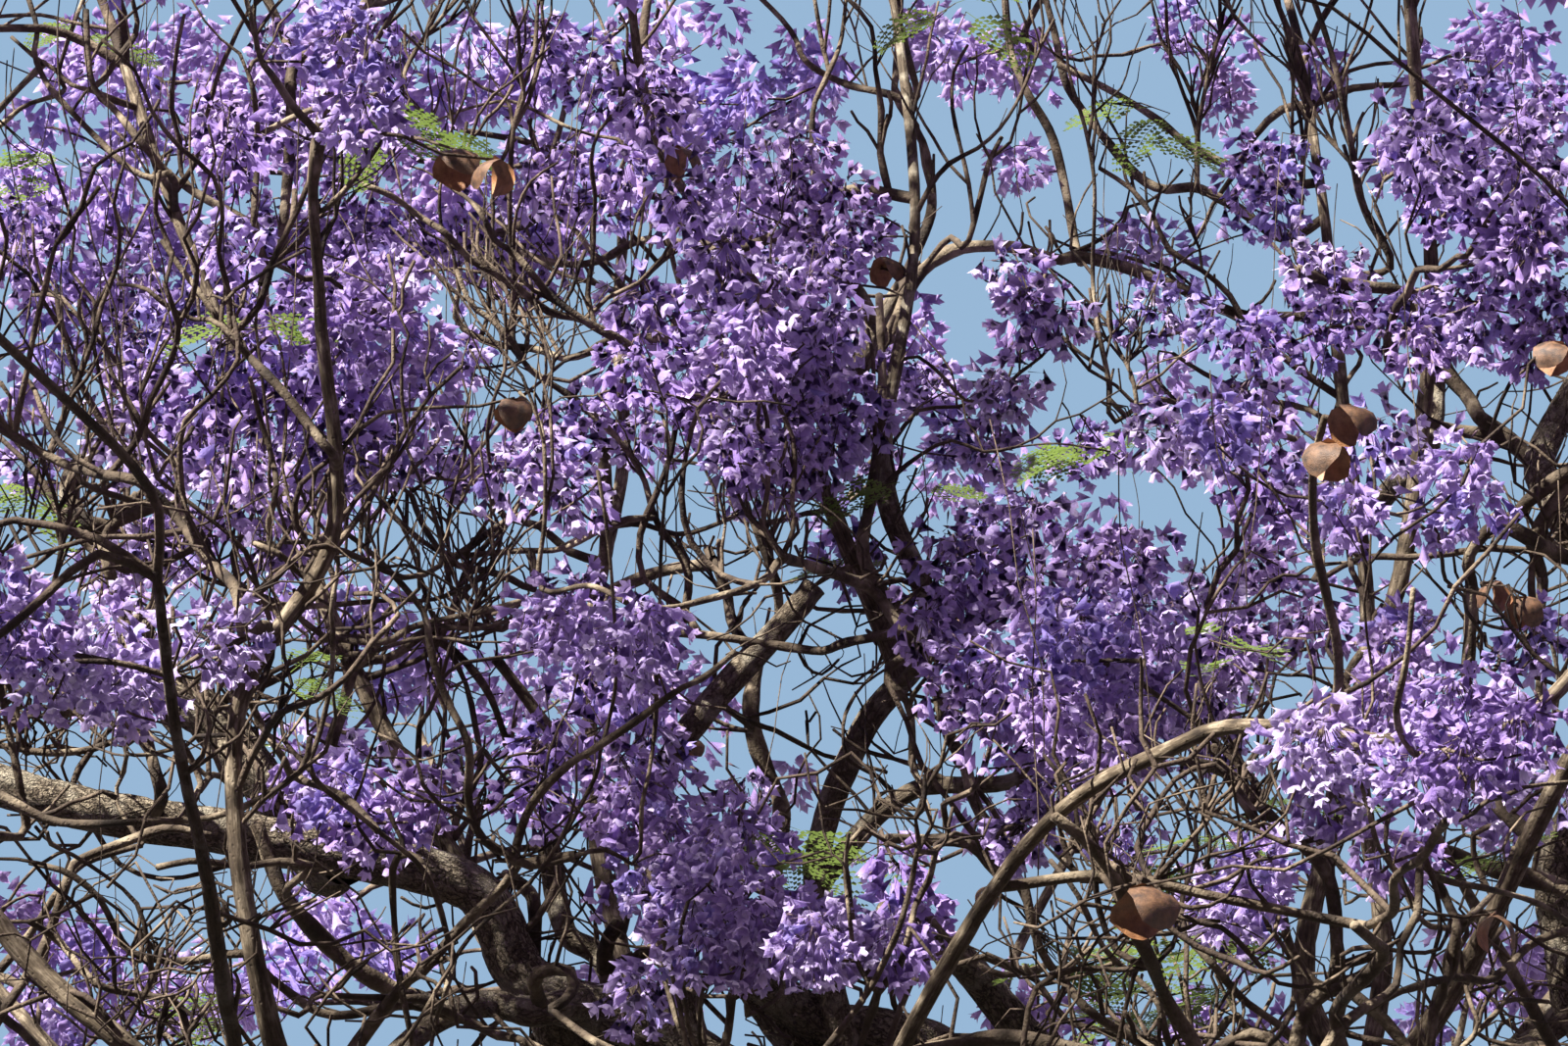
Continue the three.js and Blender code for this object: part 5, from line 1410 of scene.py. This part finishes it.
def lobe_faces(first, second, per):
    """Triangles from a ring of five to an outer ring with per corners to each lobe."""
    faces = []
    for i in range(5):
        a, b = first + i, first + (i + 1) % 5
        outer = [second + (i * per - 1) % (5 * per)] + [second + i * per + k for k in range(per)]
        faces.append((a, outer[0], outer[1]))
        faces += [(a if k < per - 1 else b, outer[k], outer[k + 1]) for k in range(1, per)]
        faces.append((a, outer[per - 1], b))
    return np.array(faces)


def fan_faces(count):
    i = np.arange(count)
    return np.stack([i * 0, 1 + (i + 1) % count, 1 + i], 1)


def bell(grade, rng):
    """Corners and triangles of a flower one unit long, from its stalk along +Z, with a lobed mouth."""
    if grade == FAR:
        mouth = [bell_ring(rng, 0.27, 0.72, 4), bell_ring(rng, 0.44, 0.98, 4, turned=0.5, ruffled=0.2)]
        corners = np.vstack([[0, 0, 0], *mouth])
        i = np.arange(4)
        faces = np.vstack([fan_faces(4), np.stack([1 + i, 1 + (i + 1) % 4, 5 + i], 1)])
    elif grade == SEEN:
        mouth = bell_mouth(rng, grade)
        corners = np.vstack([[0, 0, 0], bell_ring(rng, 0.20, 0.66), mouth])
        faces = np.vstack([fan_faces(5), lobe_faces(1, 6, 3)])
    else:
        mouth = bell_mouth(rng, grade)
        throat = [bell_ring(rng, radius, height) for radius, height in THROAT]
        corners = np.vstack([*throat, mouth])
        faces = np.vstack([tube_faces(0, 5), tube_faces(5, 10), lobe_faces(10, 15, 4)])
    corners[:, 0] += (0.1 if grade == FAR else 0.16) * corners[:, 2] ** 2
    return corners, faces


def panicle_plan(bell_count, rng):
    """Where the bells of a panicle hang, on a ball of unit size, and which way they point."""
    i = np.arange(bell_count)
    rise = 1 - 2 * (i + 0.5) / bell_count
    turn = i * GOLDEN_TURN + rng.uniform(0, 6.28)
    flat = np.sqrt(1 - rise**2)
    out = np.stack([flat * np.cos(turn), flat * np.sin(turn), rise], axis=1)
    places = out * rng.uniform(0.45, 0.95, bell_count)[:, None] + rng.normal(size=out.shape) * 0.07
    points = unit(0.75 * out - 0.65 * UP + 0.38 * rng.normal(size=out.shape))
    return places, points


def hang_bells(panicle, rng):
    """The places, headings, feet, sizes, kinds and tints of a panicle's bells."""
    offsets, points = panicle_plan(panicle.bells, rng)
    axes = (*two_across(panicle.axis, PANICLE_ASKEW), panicle.axis)
    turned = along_three(offsets * np.array([panicle.wide, panicle.wide, panicle.tall]), *axes)
    heads = unit(along_three(points, *axes) - 0.40 * UP)
    feet = panicle.place + 0.35 * turned + 0.02 * UP
    sizes = BELL_LONG * panicle.scale * rng.uniform(*BELL_SIZES, panicle.bells)
    grades = np.where(turned @ AHEAD > 0.1 * panicle.wide, FAR, panicle.grade)
    kinds = grades * VARIANTS + rng.integers(0, VARIANTS, panicle.bells)
    strays = rng.uniform(size=panicle.bells) < STRAYS
    tints = np.where(strays, rng.choice(len(TINTS), panicle.bells, p=TINT_SHARES), panicle.tint)
    return panicle.place + turned, heads, feet, sizes, kinds, tints


rng = np.random.default_rng(41)
bells = {(grade, i): bell(grade, rng) for grade in (NEAR, SEEN, FAR) for i in range(VARIANTS)}
rng = np.random.default_rng(51)
hung = [np.concatenate(one) for one in zip(*[hang_bells(panicle, rng) for panicle in panicles])]
bell_places, bell_points, bell_roots, bell_sizes, bell_kinds, bell_tints = hung
rng.uniform(size=len(bell_places))  # not used, but the draws that follow come after it
side = unit(np.cross(bell_points, unit(rng.normal(size=(len(bell_places), 3)))))
other = np.cross(bell_points, side)

tint_piles = [Pile() for _ in TINTS]
for kind in range(3 * VARIANTS):
    corners, faces = bells[kind // VARIANTS, kind % VARIANTS]
    for tint, pile in enumerate(tint_piles):
        chosen = np.flatnonzero((bell_kinds == kind) & (bell_tints == tint))
        axes = (one[chosen, None, :] for one in (side, other, bell_points))
        placed = along_three(corners[None], *axes) * bell_sizes[chosen, None, None]
        if len(chosen):
            pile.add_many(placed + bell_places[chosen, None, :], faces, np.tile(corners, (len(chosen), 1)))

# Stalks and cups of the bells that show from near by
STALK = dict(wide=0.0015, into_bell=0.009)
CUP = dict(wide=0.0052, behind=0.006)
THIRDS = (0, 2.09, 4.19)
CONE = [(0, 1, 2), (0, 2, 3), (0, 3, 1)]
stalk_pile = Pile()


def three_round(middle, aside, third, radius):
    return [middle + radius * (math.cos(turn) * aside + math.sin(turn) * third) for turn in THIRDS]


shown = np.flatnonzero(bell_kinds < FAR * VARIANTS)
foot, head, heads = bell_roots[shown], bell_places[shown], bell_points[shown]
aside, third = two_across(unit(head - foot), STALK_ASKEW)
inside_bell = head + heads * STALK["into_bell"]
needles = np.stack([inside_bell] + three_round(foot, aside, third, STALK["wide"]), axis=1)
stalk_pile.add_many(needles, np.array(CONE))
brims = three_round(inside_bell, side[shown], other[shown], CUP["wide"])
stalk_pile.add_many(np.stack([head - heads * CUP["behind"]] + brims, axis=1), np.array(CONE))

# Closed buds at the ends of the panicles that show
BUD = dict(count=2, long=0.018, wide=0.0034, widest=0.55, foot=0.02, out=0.85)
rng = np.random.default_rng(55)
held = [panicle for panicle in panicles if panicle.grade != FAR]
middles = np.repeat([panicle.place for panicle in held], BUD["count"], axis=0)
axes = np.repeat([panicle.axis for panicle in held], BUD["count"], axis=0)
out = unit(rng.normal(size=middles.shape) + 0.9 * axes)
foot = middles + out * BUD["out"] * np.array([PANICLE["wide"], PANICLE["wide"], PANICLE["tall"]])
heads = unit(out + 0.5 * rng.normal(size=out.shape) + 0.3 * UP)
aside, third = two_across(heads, STALK_ASKEW)
long = BUD["long"] * rng.uniform(0.7, 1.2, (len(foot), 1))
waists = three_round(foot + BUD["widest"] * long * heads, aside, third, BUD["wide"])
spindles = np.stack([foot - heads * BUD["foot"]] + waists + [foot + heads * long], axis=1)
stalk_pile.add_many(spindles, np.array(CONE + [(4, 2, 1), (4, 3, 2), (4, 1, 3)]))

# Seed pods, each two woody valves that gape from the stalk
POD = dict(radius=0.037, dome=0.015, gape=0.80, thick=0.0040, apart=0.002, wave=0.008, rings=4, spokes=14)
POD_WAVES = ((0.08, 3), (0.06, 5))  # how the rim of a valve is uneven: size, and waves to a turn
BIG_POD, CROWN_POD = 1.35, 1.25
POD_ABOVE = 12  # pixels above its middle that a pod hangs from
shell_pile, lining_pile, leaf_pile = (Pile() for _ in range(3))


def pod_skin(inner, turned, wavy):
    """The outer or inner skin of one valve, hinged at the origin and hanging down."""
    angles = turns(POD["spokes"])
    corners = [(0.0, POD["dome"] - inner * POD["thick"], 0.0)]
    for ring in range(1, POD["rings"] + 1):
        share = ring / POD["rings"]
        out = POD["radius"] * share * wavy
        dome = POD["dome"] * (1 - share**2) - inner * POD["thick"] * (1 - share**6)
        wave = POD["wave"] * share**2 * np.sin(2 * angles + 1.0)
        corners += list(zip(out * np.cos(angles), dome + wave, out * np.sin(angles)))
    corners = np.array(corners)
    turn = turned * POD["gape"] * 0.5
    y, z = corners[:, 1] * turned + POD["apart"] * turned, corners[:, 2] - POD["radius"] * 0.95
    corners[:, 1] = y * math.cos(turn) - z * math.sin(turn)
    corners[:, 2] = y * math.sin(turn) + z * math.cos(turn)
    return corners


def hang_pod(place, turned, size, rng):
    cosine, sine = math.cos(turned), math.sin(turned)
    spin = np.array([[cosine, -sine, 0], [sine, cosine, 0], [0, 0, 1]])
    tilt = rng.uniform(-0.3, 0.3)
    lean = np.array([[1, 0, 0], [0, math.cos(tilt), -math.sin(tilt)], [0, math.sin(tilt), math.cos(tilt)]])
    angles = turns(POD["spokes"])
    for way in (-1, 1):
        wavy = 1
        for high, waves in POD_WAVES:
            wavy = wavy + high * np.sin(waves * angles + rng.uniform(0, 6))
        for inner, pile in enumerate((shell_pile, lining_pile)):
            corners = pod_skin(inner, way, wavy) @ lean.T @ spin.T * size + place
            pile.add(corners, disc_faces(POD["rings"], POD["spokes"]))


# Leaves: pairs of narrow pinnae with toothed edges, along an arching rib
PINNA = dict(first=0.18, along=0.82, long=0.34, wide=0.0095, narrowest=0.0015, swept=0.3, forward=0.62)
RIB = dict(wide=0.0012, middle_wide=0.001, rise=0.15, droop=(0.25, 0.6))


def leaf(length, pairs, teeth, rng):
    corners, faces = [], []
    droop = rng.uniform(*RIB["droop"])

    def rib(share):
        return np.array([0, length * share, length * (RIB["rise"] * share - droop * share**2)])

    for i in range(pairs):
        share = PINNA["first"] + PINNA["along"] * (i + 0.5) / pairs
        long = length * PINNA["long"] * math.sin(math.pi * (0.22 + 0.7 * share)) ** 0.7
        for way in (-1, 1):
            heads = unit(np.array([way, PINNA["forward"], -0.12 + 0.1 * rng.normal()]))
            across = unit(np.cross(heads, [0, 0.25, 1]))
            base = len(corners)
            corners.append(rib(share))
            for k in range(1, teeth + 1):
                middle = rib(share) + heads * long * k / teeth
                spread = PINNA["wide"] * math.sin(math.pi * (k - 0.35) / (teeth + 0.3)) + PINNA["narrowest"]
                back = middle - heads * long * PINNA["swept"] / teeth
                corners += [back + across * spread, middle, back - across * spread]
                last = base if k == 1 else base + 3 * (k - 1) - 1
                now = base + 3 * k - 1
                faces += [(last, now - 1, now), (last, now, now + 1)]
    base = len(corners)
    for share, wide in ((0, RIB["wide"]), (0.5, RIB["middle_wide"])):
        corners += [rib(share) + [wide, 0, 0], rib(share) - [wide, 0, 0]]
    corners.append(rib(1))
    faces += [(base, base + 1, base + 2), (base + 1, base + 3, base + 2), (base + 2, base + 3, base + 4)]
    return np.array(corners), np.array(faces)


def hang_leaf(place, toward, length, pairs, teeth, rng):
    corners, faces = leaf(length, pairs, teeth, rng)
    ahead = unit(np.array([toward[0], toward[1], 0.0]) + 1e-4)
    across = np.array([ahead[1], -ahead[0], 0])
    leaf_pile.add(along_three(corners, across, ahead, UP) + place, [faces])


def stalk_to(place, step, crook, radii, sides, rng):
    """A thin stalk from the nearest limb to what hangs at a place."""
    root = growth.best_root(place)
    start = growth.place[root]
    way = crooked_way(start, growth.toward[root], place, step, crook, rng, STALK_RISES)
    inner_pile.add(*tube(np.vstack([start, way]), np.linspace(*radii, len(way) + 1), sides))


STALK_RISES = 0.2
POD_STALK = dict(step=0.08, crook=0.12, radii=(0.005, 0.003), sides=4)
LEAF_STALK = dict(step=0.1, crook=0.1, radii=(0.003, 0.0015), sides=3)
NEAR_LEAF, CROWN_LEAF = dict(pairs=12, teeth=4), dict(pairs=6, teeth=2)
SPRIG, SPRIG_SPREAD = 3, (14, 12)  # leaves to a sprig, and pixels that it spreads across and down
CROWN_LEAVES, CROWN_PODS = 220, 60
rng = np.random.default_rng(71)
for across, down, depth, turned in PODS:
    place = from_photo(across, down - POD_ABOVE, depth)
    stalk_to(place, rng=rng, **POD_STALK)
    size = rng.uniform(0.95, 1.15) * (BIG_POD if depth == BIG_POD_DEPTH else 1.0)
    hang_pod(place, turned, size, rng)
for across, down, depth in LEAVES:
    for _ in range(SPRIG):
        aside, lower = (rng.normal() * spread for spread in SPRIG_SPREAD)
        place = from_photo(across + aside, down + lower, depth)
        stalk_to(place, rng=rng, **LEAF_STALK)
        hang_leaf(place, rng.normal(size=3), rng.uniform(0.15, 0.24), rng=rng, **NEAR_LEAF)
ends = [path[-1] for path in growth.twigs if growth.group[path[-1]] >= 0]
for i in rng.choice(ends, CROWN_LEAVES, replace=False):
    hang_leaf(growth.place[i], rng.normal(size=3), rng.uniform(0.2, 0.3), rng=rng, **CROWN_LEAF)
for i in rng.choice(ends, CROWN_PODS, replace=False):
    if not hides_the_view(growth.place[i], 0.05):
        hang_pod(growth.place[i], rng.uniform(0, 6.28), CROWN_POD, rng)


# Finishes
class Value:
    """A socket that can be written into expressions. Each sum adds a Math node."""

    def __init__(self, finish, socket):
        self.finish, self.socket = finish, socket

    def math(self, operation, first, second=0.0):
        node = self.finish.node("ShaderNodeMath", dict(operation=operation), {0: first, 1: second})
        return Value(self.finish, node.outputs[0])

    def __add__(self, other):
        return self.math("ADD", self, other)

    __radd__ = __add__

    def __mul__(self, other):
        return self.math("MULTIPLY", self, other)

    __rmul__ = __mul__

    def __sub__(self, other):
        return self.math("SUBTRACT", self, other)

    def __rsub__(self, other):
        return self.math("SUBTRACT", other, self)


def solid(colour):
    """A colour with its fourth number, or the socket that a colour comes from."""
    return colour if isinstance(colour, bpy.types.NodeSocket) else (*colour, 1)


class Finish:
    """A material, or the world, made of nodes."""

    def __init__(self, name, kind=bpy.data.materials):
        self.owner = kind.new(name)
        self.owner.use_nodes = True
        self.tree = self.owner.node_tree
        self.tree.nodes.clear()

    def node(self, kind, settings=None, sockets=None):
        node = self.tree.nodes.new(kind)
        for setting, value in (settings or {}).items():
            setattr(node, setting, value)
        for socket, value in (sockets or {}).items():
            value = value.socket if isinstance(value, Value) else value
            if isinstance(value, bpy.types.NodeSocket):
                self.tree.links.new(value, node.inputs[socket])
            else:
                node.inputs[socket].default_value = value
        return node

    def value(self, kind, settings=None, sockets=None, output=0):
        return Value(self, self.node(kind, settings, sockets).outputs[output])

    def place(self):
        """Where a point is, in the object's own space."""
        return self.node("ShaderNodeTexCoord").outputs["Object"]

    def own_place(self, scale=(1, 1, 1)):
        """Where a point is round and along its own limb or flower, stretched by scale."""
        marks = self.node("ShaderNodeAttribute", dict(attribute_name="own_place"))
        return self.vector("MULTIPLY", marks.outputs["Vector"], scale)

    def vector(self, operation, first, second):
        return self.node("ShaderNodeVectorMath", dict(operation=operation), {0: first, 1: second}).outputs[0]

    def length(self, place):
        return self.value("ShaderNodeVectorMath", dict(operation="LENGTH"), {0: place}, "Value")

    def noise(self, place, scale, detail=3.0, roughness=0.55):
        sockets = {"Vector": place, "Scale": scale, "Detail": detail, "Roughness": roughness}
        return self.value("ShaderNodeTexNoise", None, sockets)

    def noise_colour(self, place, scale):
        sockets = {"Vector": place, "Scale": scale, "Detail": 2.0}
        return self.node("ShaderNodeTexNoise", None, sockets).outputs["Color"]

    def cells(self, place, scale, feature="DISTANCE_TO_EDGE"):
        return self.value("ShaderNodeTexVoronoi", dict(feature=feature), {"Vector": place, "Scale": scale})

    def ramp(self, value, *stops):
        node = self.node("ShaderNodeValToRGB", None, {0: value})
        while len(node.color_ramp.elements) < len(stops):
            node.color_ramp.elements.new(0.5)
        for element, (place, colour) in zip(node.color_ramp.elements, stops):
            element.position, element.color = place, solid(colour)
        return node.outputs["Color"]

    def between(self, value, low, high):
        """0 where value is low or less, 1 where it is high or more."""
        sockets = {"Value": value, "From Min": low, "From Max": high}
        return self.value("ShaderNodeMapRange", dict(clamp=True), sockets)

    def mix(self, share, first, second, blend="MIX"):
        sockets = {0: share, 6: solid(first), 7: solid(second)}
        return self.node("ShaderNodeMix", dict(data_type="RGBA", blend_type=blend), sockets).outputs[2]

    def bump(self, height, strength, distance):
        sockets = {"Height": height, "Strength": strength, "Distance": distance}
        return self.node("ShaderNodeBump", None, sockets).outputs[0]

    def surface(self, colour, roughness, normal=None, specular=None, through=None, share=0.0):
        """The surface shader, with light let through by a share where through gives its colour."""
        sockets = {"Base Color": solid(colour), "Roughness": roughness}
        if normal is not None:
            sockets["Normal"] = normal
        if specular is not None:
            sockets["Specular IOR Level"] = specular
        shader = self.node("ShaderNodeBsdfPrincipled", None, sockets).outputs[0]
        if through is not None:
            behind = self.node("ShaderNodeBsdfTranslucent", None, {"Color": solid(through)}).outputs[0]
            shader = self.node("ShaderNodeMixShader", None, {0: share, 1: shader, 2: behind}).outputs[0]
        self.node("ShaderNodeOutputMaterial", None, {0: shader})
        return self.owner


def rough_bark(name, crack, middle, ridge, lichen):
    """Bark that is smooth and streaked on thin limbs, and scaly with dark cracks on thick ones."""
    finish = Finish(name)
    place = finish.own_place()
    flattened = finish.own_place((1, 1, 0.45))
    knocked = finish.vector("MULTIPLY", finish.noise_colour(place, 42), (0.034, 0.034, 0.034))
    bent = finish.vector("ADD", flattened, knocked)
    old = finish.between(finish.length(finish.own_place((1, 1, 0))), 0.018, 0.046)
    plates = finish.between(finish.cells(bent, 62), 0.0, 0.22)
    scales = finish.between(finish.cells(bent, 140), 0.0, 0.2)
    rough = finish.noise(bent, 110, 5, 0.7)
    streaks = finish.noise(finish.own_place((1, 1, 0.16)), 120, 4, 0.6)
    cracked = plates * 0.42 + scales * 0.22 + rough * 0.5
    height = cracked * old + (streaks * 0.75 + rough * 0.25) * (1 - old)
    colour = finish.ramp(height, (0.28, crack), (0.58, middle), (0.92, ridge))
    weather = finish.between(finish.noise(place, 12, 4), 0.50, 0.62)
    colour = finish.mix(weather * rough, colour, lichen)
    return finish.surface(colour, 0.92, finish.bump(height, 1.0, 0.010), 0.2)


def limb_skin(name, shade, middle, worn):
    """Bark of the younger limbs: long fine streaks, pores and pale rubbed patches."""
    finish = Finish(name)
    place = finish.own_place()
    streaks = finish.noise(finish.own_place((1, 1, 0.16)), 130, 4, 0.6)
    patches = finish.noise(place, 13, 4)
    pores = finish.between(finish.cells(place, 75, "F1"), 0.08, 0.30)
    colour = finish.ramp(streaks * 0.45 + patches * 0.55, (0.36, shade), (0.5, middle), (0.64, worn))
    colour = finish.mix(finish.noise(place, 240, 3) * 0.5, colour, shade, "MULTIPLY")
    return finish.surface(colour, 0.86, finish.bump(streaks + pores * 0.5, 0.8, 0.003), 0.25)


def smooth_bark(name, shade, middle, worn):
    """Bark of the inner limbs and twigs: pores, rings and patches."""
    finish = Finish(name)
    place = finish.place()
    patches = finish.noise(place, 9, 4)
    grain = finish.noise(place, 120, 4)
    spots = finish.between(finish.cells(place, 90, "F1"), 0.10, 0.32)
    colour = finish.ramp(patches, (0.32, shade), (0.5, middle), (0.68, worn))
    colour = finish.mix(grain * 0.6, colour, shade, "MULTIPLY")
    rings = finish.noise(place, 42, 3)
    return finish.surface(colour, 0.85, finish.bump(grain + spots * 0.4 + rings * 1.2, 0.9, 0.004), 0.25)


def petals(name, colour, shade):
    """A flower with painted shade in its tube, paler lobes, fine veins along it, and a tone of its own in
    each spray.
    """
    finish = Finish(name)
    place = finish.place()
    height = finish.value("ShaderNodeSeparateXYZ", None, {0: finish.own_place()}, "Z")
    width = finish.length(finish.own_place((1, 1, 0)))
    dapple = finish.between(finish.noise(place, 22, 3), 0.36, 0.64)
    veins = finish.noise(finish.own_place((1, 1, 0.2)), 13, 3)
    crinkle = finish.noise(place, 190, 3)
    # Painted shade: the tube, low on the bell and near its axis, takes the shade colour and 0.62 of it, and
    # the lobes and rims take the tint's colour.
    lobes = finish.between(height, 0.62, 0.93) * 0.55 + finish.between(width, 0.22, 0.38) * 0.3
    tone = lobes + dapple * 0.45 + (veins - 0.5) * 0.9 - 0.12
    base = finish.ramp(tone, (0.0, [0.62 * part for part in shade]), (0.45, shade), (0.85, colour))
    normal = finish.bump(crinkle + veins * 0.6, 0.7, 0.004)
    through = [0.4 * one + 0.6 * other for one, other in zip(colour, shade)]
    return finish.surface(base, 0.7, normal, 0.15, through, 0.5)


def plain_grown(name, low, high, scale, roughness, through=0.0):
    """Patches and a fine grain, for stalks, pods, leaves and cut wood."""
    finish = Finish(name)
    place = finish.place()
    patches = finish.noise(place, scale, 4)
    grain = finish.noise(place, scale * 9, 3)
    colour = finish.mix(finish.between(patches + grain * 0.25, 0.42, 0.78), low, high)
    normal = finish.bump(grain + patches, 0.6, 0.002)
    return finish.surface(colour, roughness, normal, None, high if through else None, through)


# Each tint: the colour of its lobes, and the darker shade colour that the petals paint into the tubes as
# painted shade.
BLOSSOM_COLOURS = dict(
    pale=((0.74, 0.65, 0.84), (0.60, 0.47, 0.82)),
    lilac=((0.67, 0.56, 0.82), (0.52, 0.38, 0.77)),
    mauve=((0.63, 0.49, 0.76), (0.50, 0.35, 0.70)),
    violet=((0.53, 0.40, 0.72), (0.39, 0.26, 0.62)),
    blue=((0.50, 0.42, 0.78), (0.36, 0.28, 0.68)),
)
TRUNK_COLOURS = (0.025, 0.018, 0.014), (0.11, 0.085, 0.065), (0.27, 0.22, 0.17), (0.36, 0.34, 0.28)
BOUGH_COLOURS = (0.018, 0.013, 0.010), (0.12, 0.092, 0.062), (0.35, 0.29, 0.205), (0.44, 0.39, 0.29)
trunk_bark = rough_bark("trunk bark", *TRUNK_COLOURS)
bough_bark = rough_bark("bough bark", *BOUGH_COLOURS)
side_bark = limb_skin("limb bark", (0.030, 0.021, 0.014), (0.145, 0.108, 0.070), (0.48, 0.39, 0.27))
inner_bark = smooth_bark("inner limb bark", (0.027, 0.019, 0.013), (0.125, 0.091, 0.060), (0.46, 0.37, 0.25))
twig_bark = smooth_bark("twig bark", (0.026, 0.017, 0.013), (0.098, 0.068, 0.047), (0.29, 0.22, 0.15))
stalk_skin = plain_grown("flower stalks", (0.045, 0.022, 0.04), (0.10, 0.055, 0.07), 40, 0.6)
pod_shell = plain_grown("pod shells", (0.026, 0.013, 0.007), (0.17, 0.086, 0.042), 60, 0.6)
pod_lining = plain_grown("pod linings", (0.16, 0.065, 0.026), (0.46, 0.22, 0.095), 50, 0.5)
leaf_skin = plain_grown("leaves", (0.10, 0.17, 0.03), (0.22, 0.31, 0.07), 25, 0.6, 0.4)
cut_wood = plain_grown("cut wood", (0.24, 0.19, 0.14), (0.42, 0.35, 0.27), 45, 0.9)

# The pieces
trunk_pile, bough_pile, side_pile, cut_pile = (Pile() for _ in range(4))
side_names = [name for name in limbs if name.startswith("limb_")]
bough_names = [name for name in limbs if name != "trunk" and name not in side_names]
mass_names = ["blossom_{}_{}".format(*key) for key in masses]
for name, limb in limbs.items():
    pile = trunk_pile if name == "trunk" else side_pile if name in side_names else bough_pile
    limb_mesh(limb["line"], slimmer(limb), pile, 0.0 if name == "bough_pruned" else 0.5)
pruned = limbs["bough_pruned"]
sawn_end(pruned["line"], float(pruned["radius"](1.0, 0.0)), cut_pile)

trunk_pile.make("trunk_bark_relief", trunk_bark, "trunk_bark", ["trunk"])
bough_pile.make("boughs", bough_bark, "bough_bark", bough_names)
side_pile.make("side_limbs", side_bark, "bough_bark", side_names)
rough_pile.make("inner_boughs", bough_bark, "bough_bark")
inner_limb_pile.make("inner_limbs", inner_bark, "bough_bark")
inner_pile.make("inner_twigs", twig_bark, "bough_bark")
twig_pile.make("crown_twigs", twig_bark, "bough_bark", mass_names)
for tint, pile in zip(TINTS, tint_piles):
    pile.make("bells_" + tint, petals("petals " + tint, *BLOSSOM_COLOURS[tint]), "blossom", mass_names)
cut_pile.make("sawn_end", cut_wood, "bough_bark")
stalk_pile.make("flower_stalks", stalk_skin, "blossom")
shell_pile.make("pod_shells", pod_shell, "bough_bark")
lining_pile.make("pod_linings", pod_lining, "bough_bark")
leaf_pile.make("leaves", leaf_skin, "blossom")

# The floor, the light and the camera
FLOOR_HALF = 900
FLOOR_COLOUR = (0.18, 0.176, 0.168)
SKY = (0.314, 0.479, 0.679)
DOME_HIGH, DOME_LOW = (0.175, 0.160, 0.180), (0.030, 0.024, 0.028)
SUN = dict(energy=16.2, color=(1.0, 0.97, 0.92), angle=math.radians(1.2), toward=(-0.54, -0.46, 0.70))


def lay_the_floor():
    mesh = bpy.data.meshes.new("floor")
    corners = [(x * FLOOR_HALF, y * FLOOR_HALF, 0) for x, y in ((-1, -1), (1, -1), (1, 1), (-1, 1))]
    mesh.from_pydata(corners, [], [(0, 1, 2, 3)])
    mesh.materials.append(Finish("pale floor").surface(FLOOR_COLOUR, 0.95))
    floor = bpy.data.objects.new("floor", mesh)
    floor.visible_diffuse = False
    bpy.context.scene.collection.objects.link(floor)


def light_the_world():
    """A plain pale blue backdrop, and soft light that comes from above more than from below."""
    world = Finish("backdrop", bpy.data.worlds)
    way = world.node("ShaderNodeTexCoord").outputs["Generated"]
    height = world.value("ShaderNodeSeparateXYZ", None, {0: way}, "Z")
    dome = world.mix(world.between(height, -0.25, 0.45), DOME_LOW, DOME_HIGH)
    shades = [world.node("ShaderNodeBackground", None, {"Color": solid(colour)}) for colour in (dome, SKY)]
    seen = world.node("ShaderNodeLightPath").outputs["Is Camera Ray"]
    sockets = {0: seen, 1: shades[0].outputs[0], 2: shades[1].outputs[0]}
    either = world.node("ShaderNodeMixShader", None, sockets)
    world.node("ShaderNodeOutputWorld", None, {"Surface": either.outputs[0]})
    bpy.context.scene.world = world.owner


def hang_the_sun():
    light = bpy.data.lights.new("high light", "SUN")
    light.energy, light.color, light.angle = SUN["energy"], SUN["color"], SUN["angle"]
    sun = bpy.data.objects.new("high light", light)
    sun.rotation_euler = Vector(SUN["toward"]).to_track_quat("Z", "Y").to_euler()
    bpy.context.scene.collection.objects.link(sun)


def set_up_the_camera():
    lens = bpy.data.cameras.new("photograph's view")
    lens.lens, lens.sensor_width, lens.clip_end = LENS, SENSOR, 2000
    camera = bpy.data.objects.new("photograph's view", lens)
    camera.location = CAMERA
    camera.rotation_euler = (math.pi / 2 + LOOKS_UP, 0, 0)
    bpy.context.scene.collection.objects.link(camera)
    bpy.context.scene.camera = camera


lay_the_floor()
light_the_world()
hang_the_sun()
set_up_the_camera()
bpy.context.scene.view_settings.view_transform = "Standard"
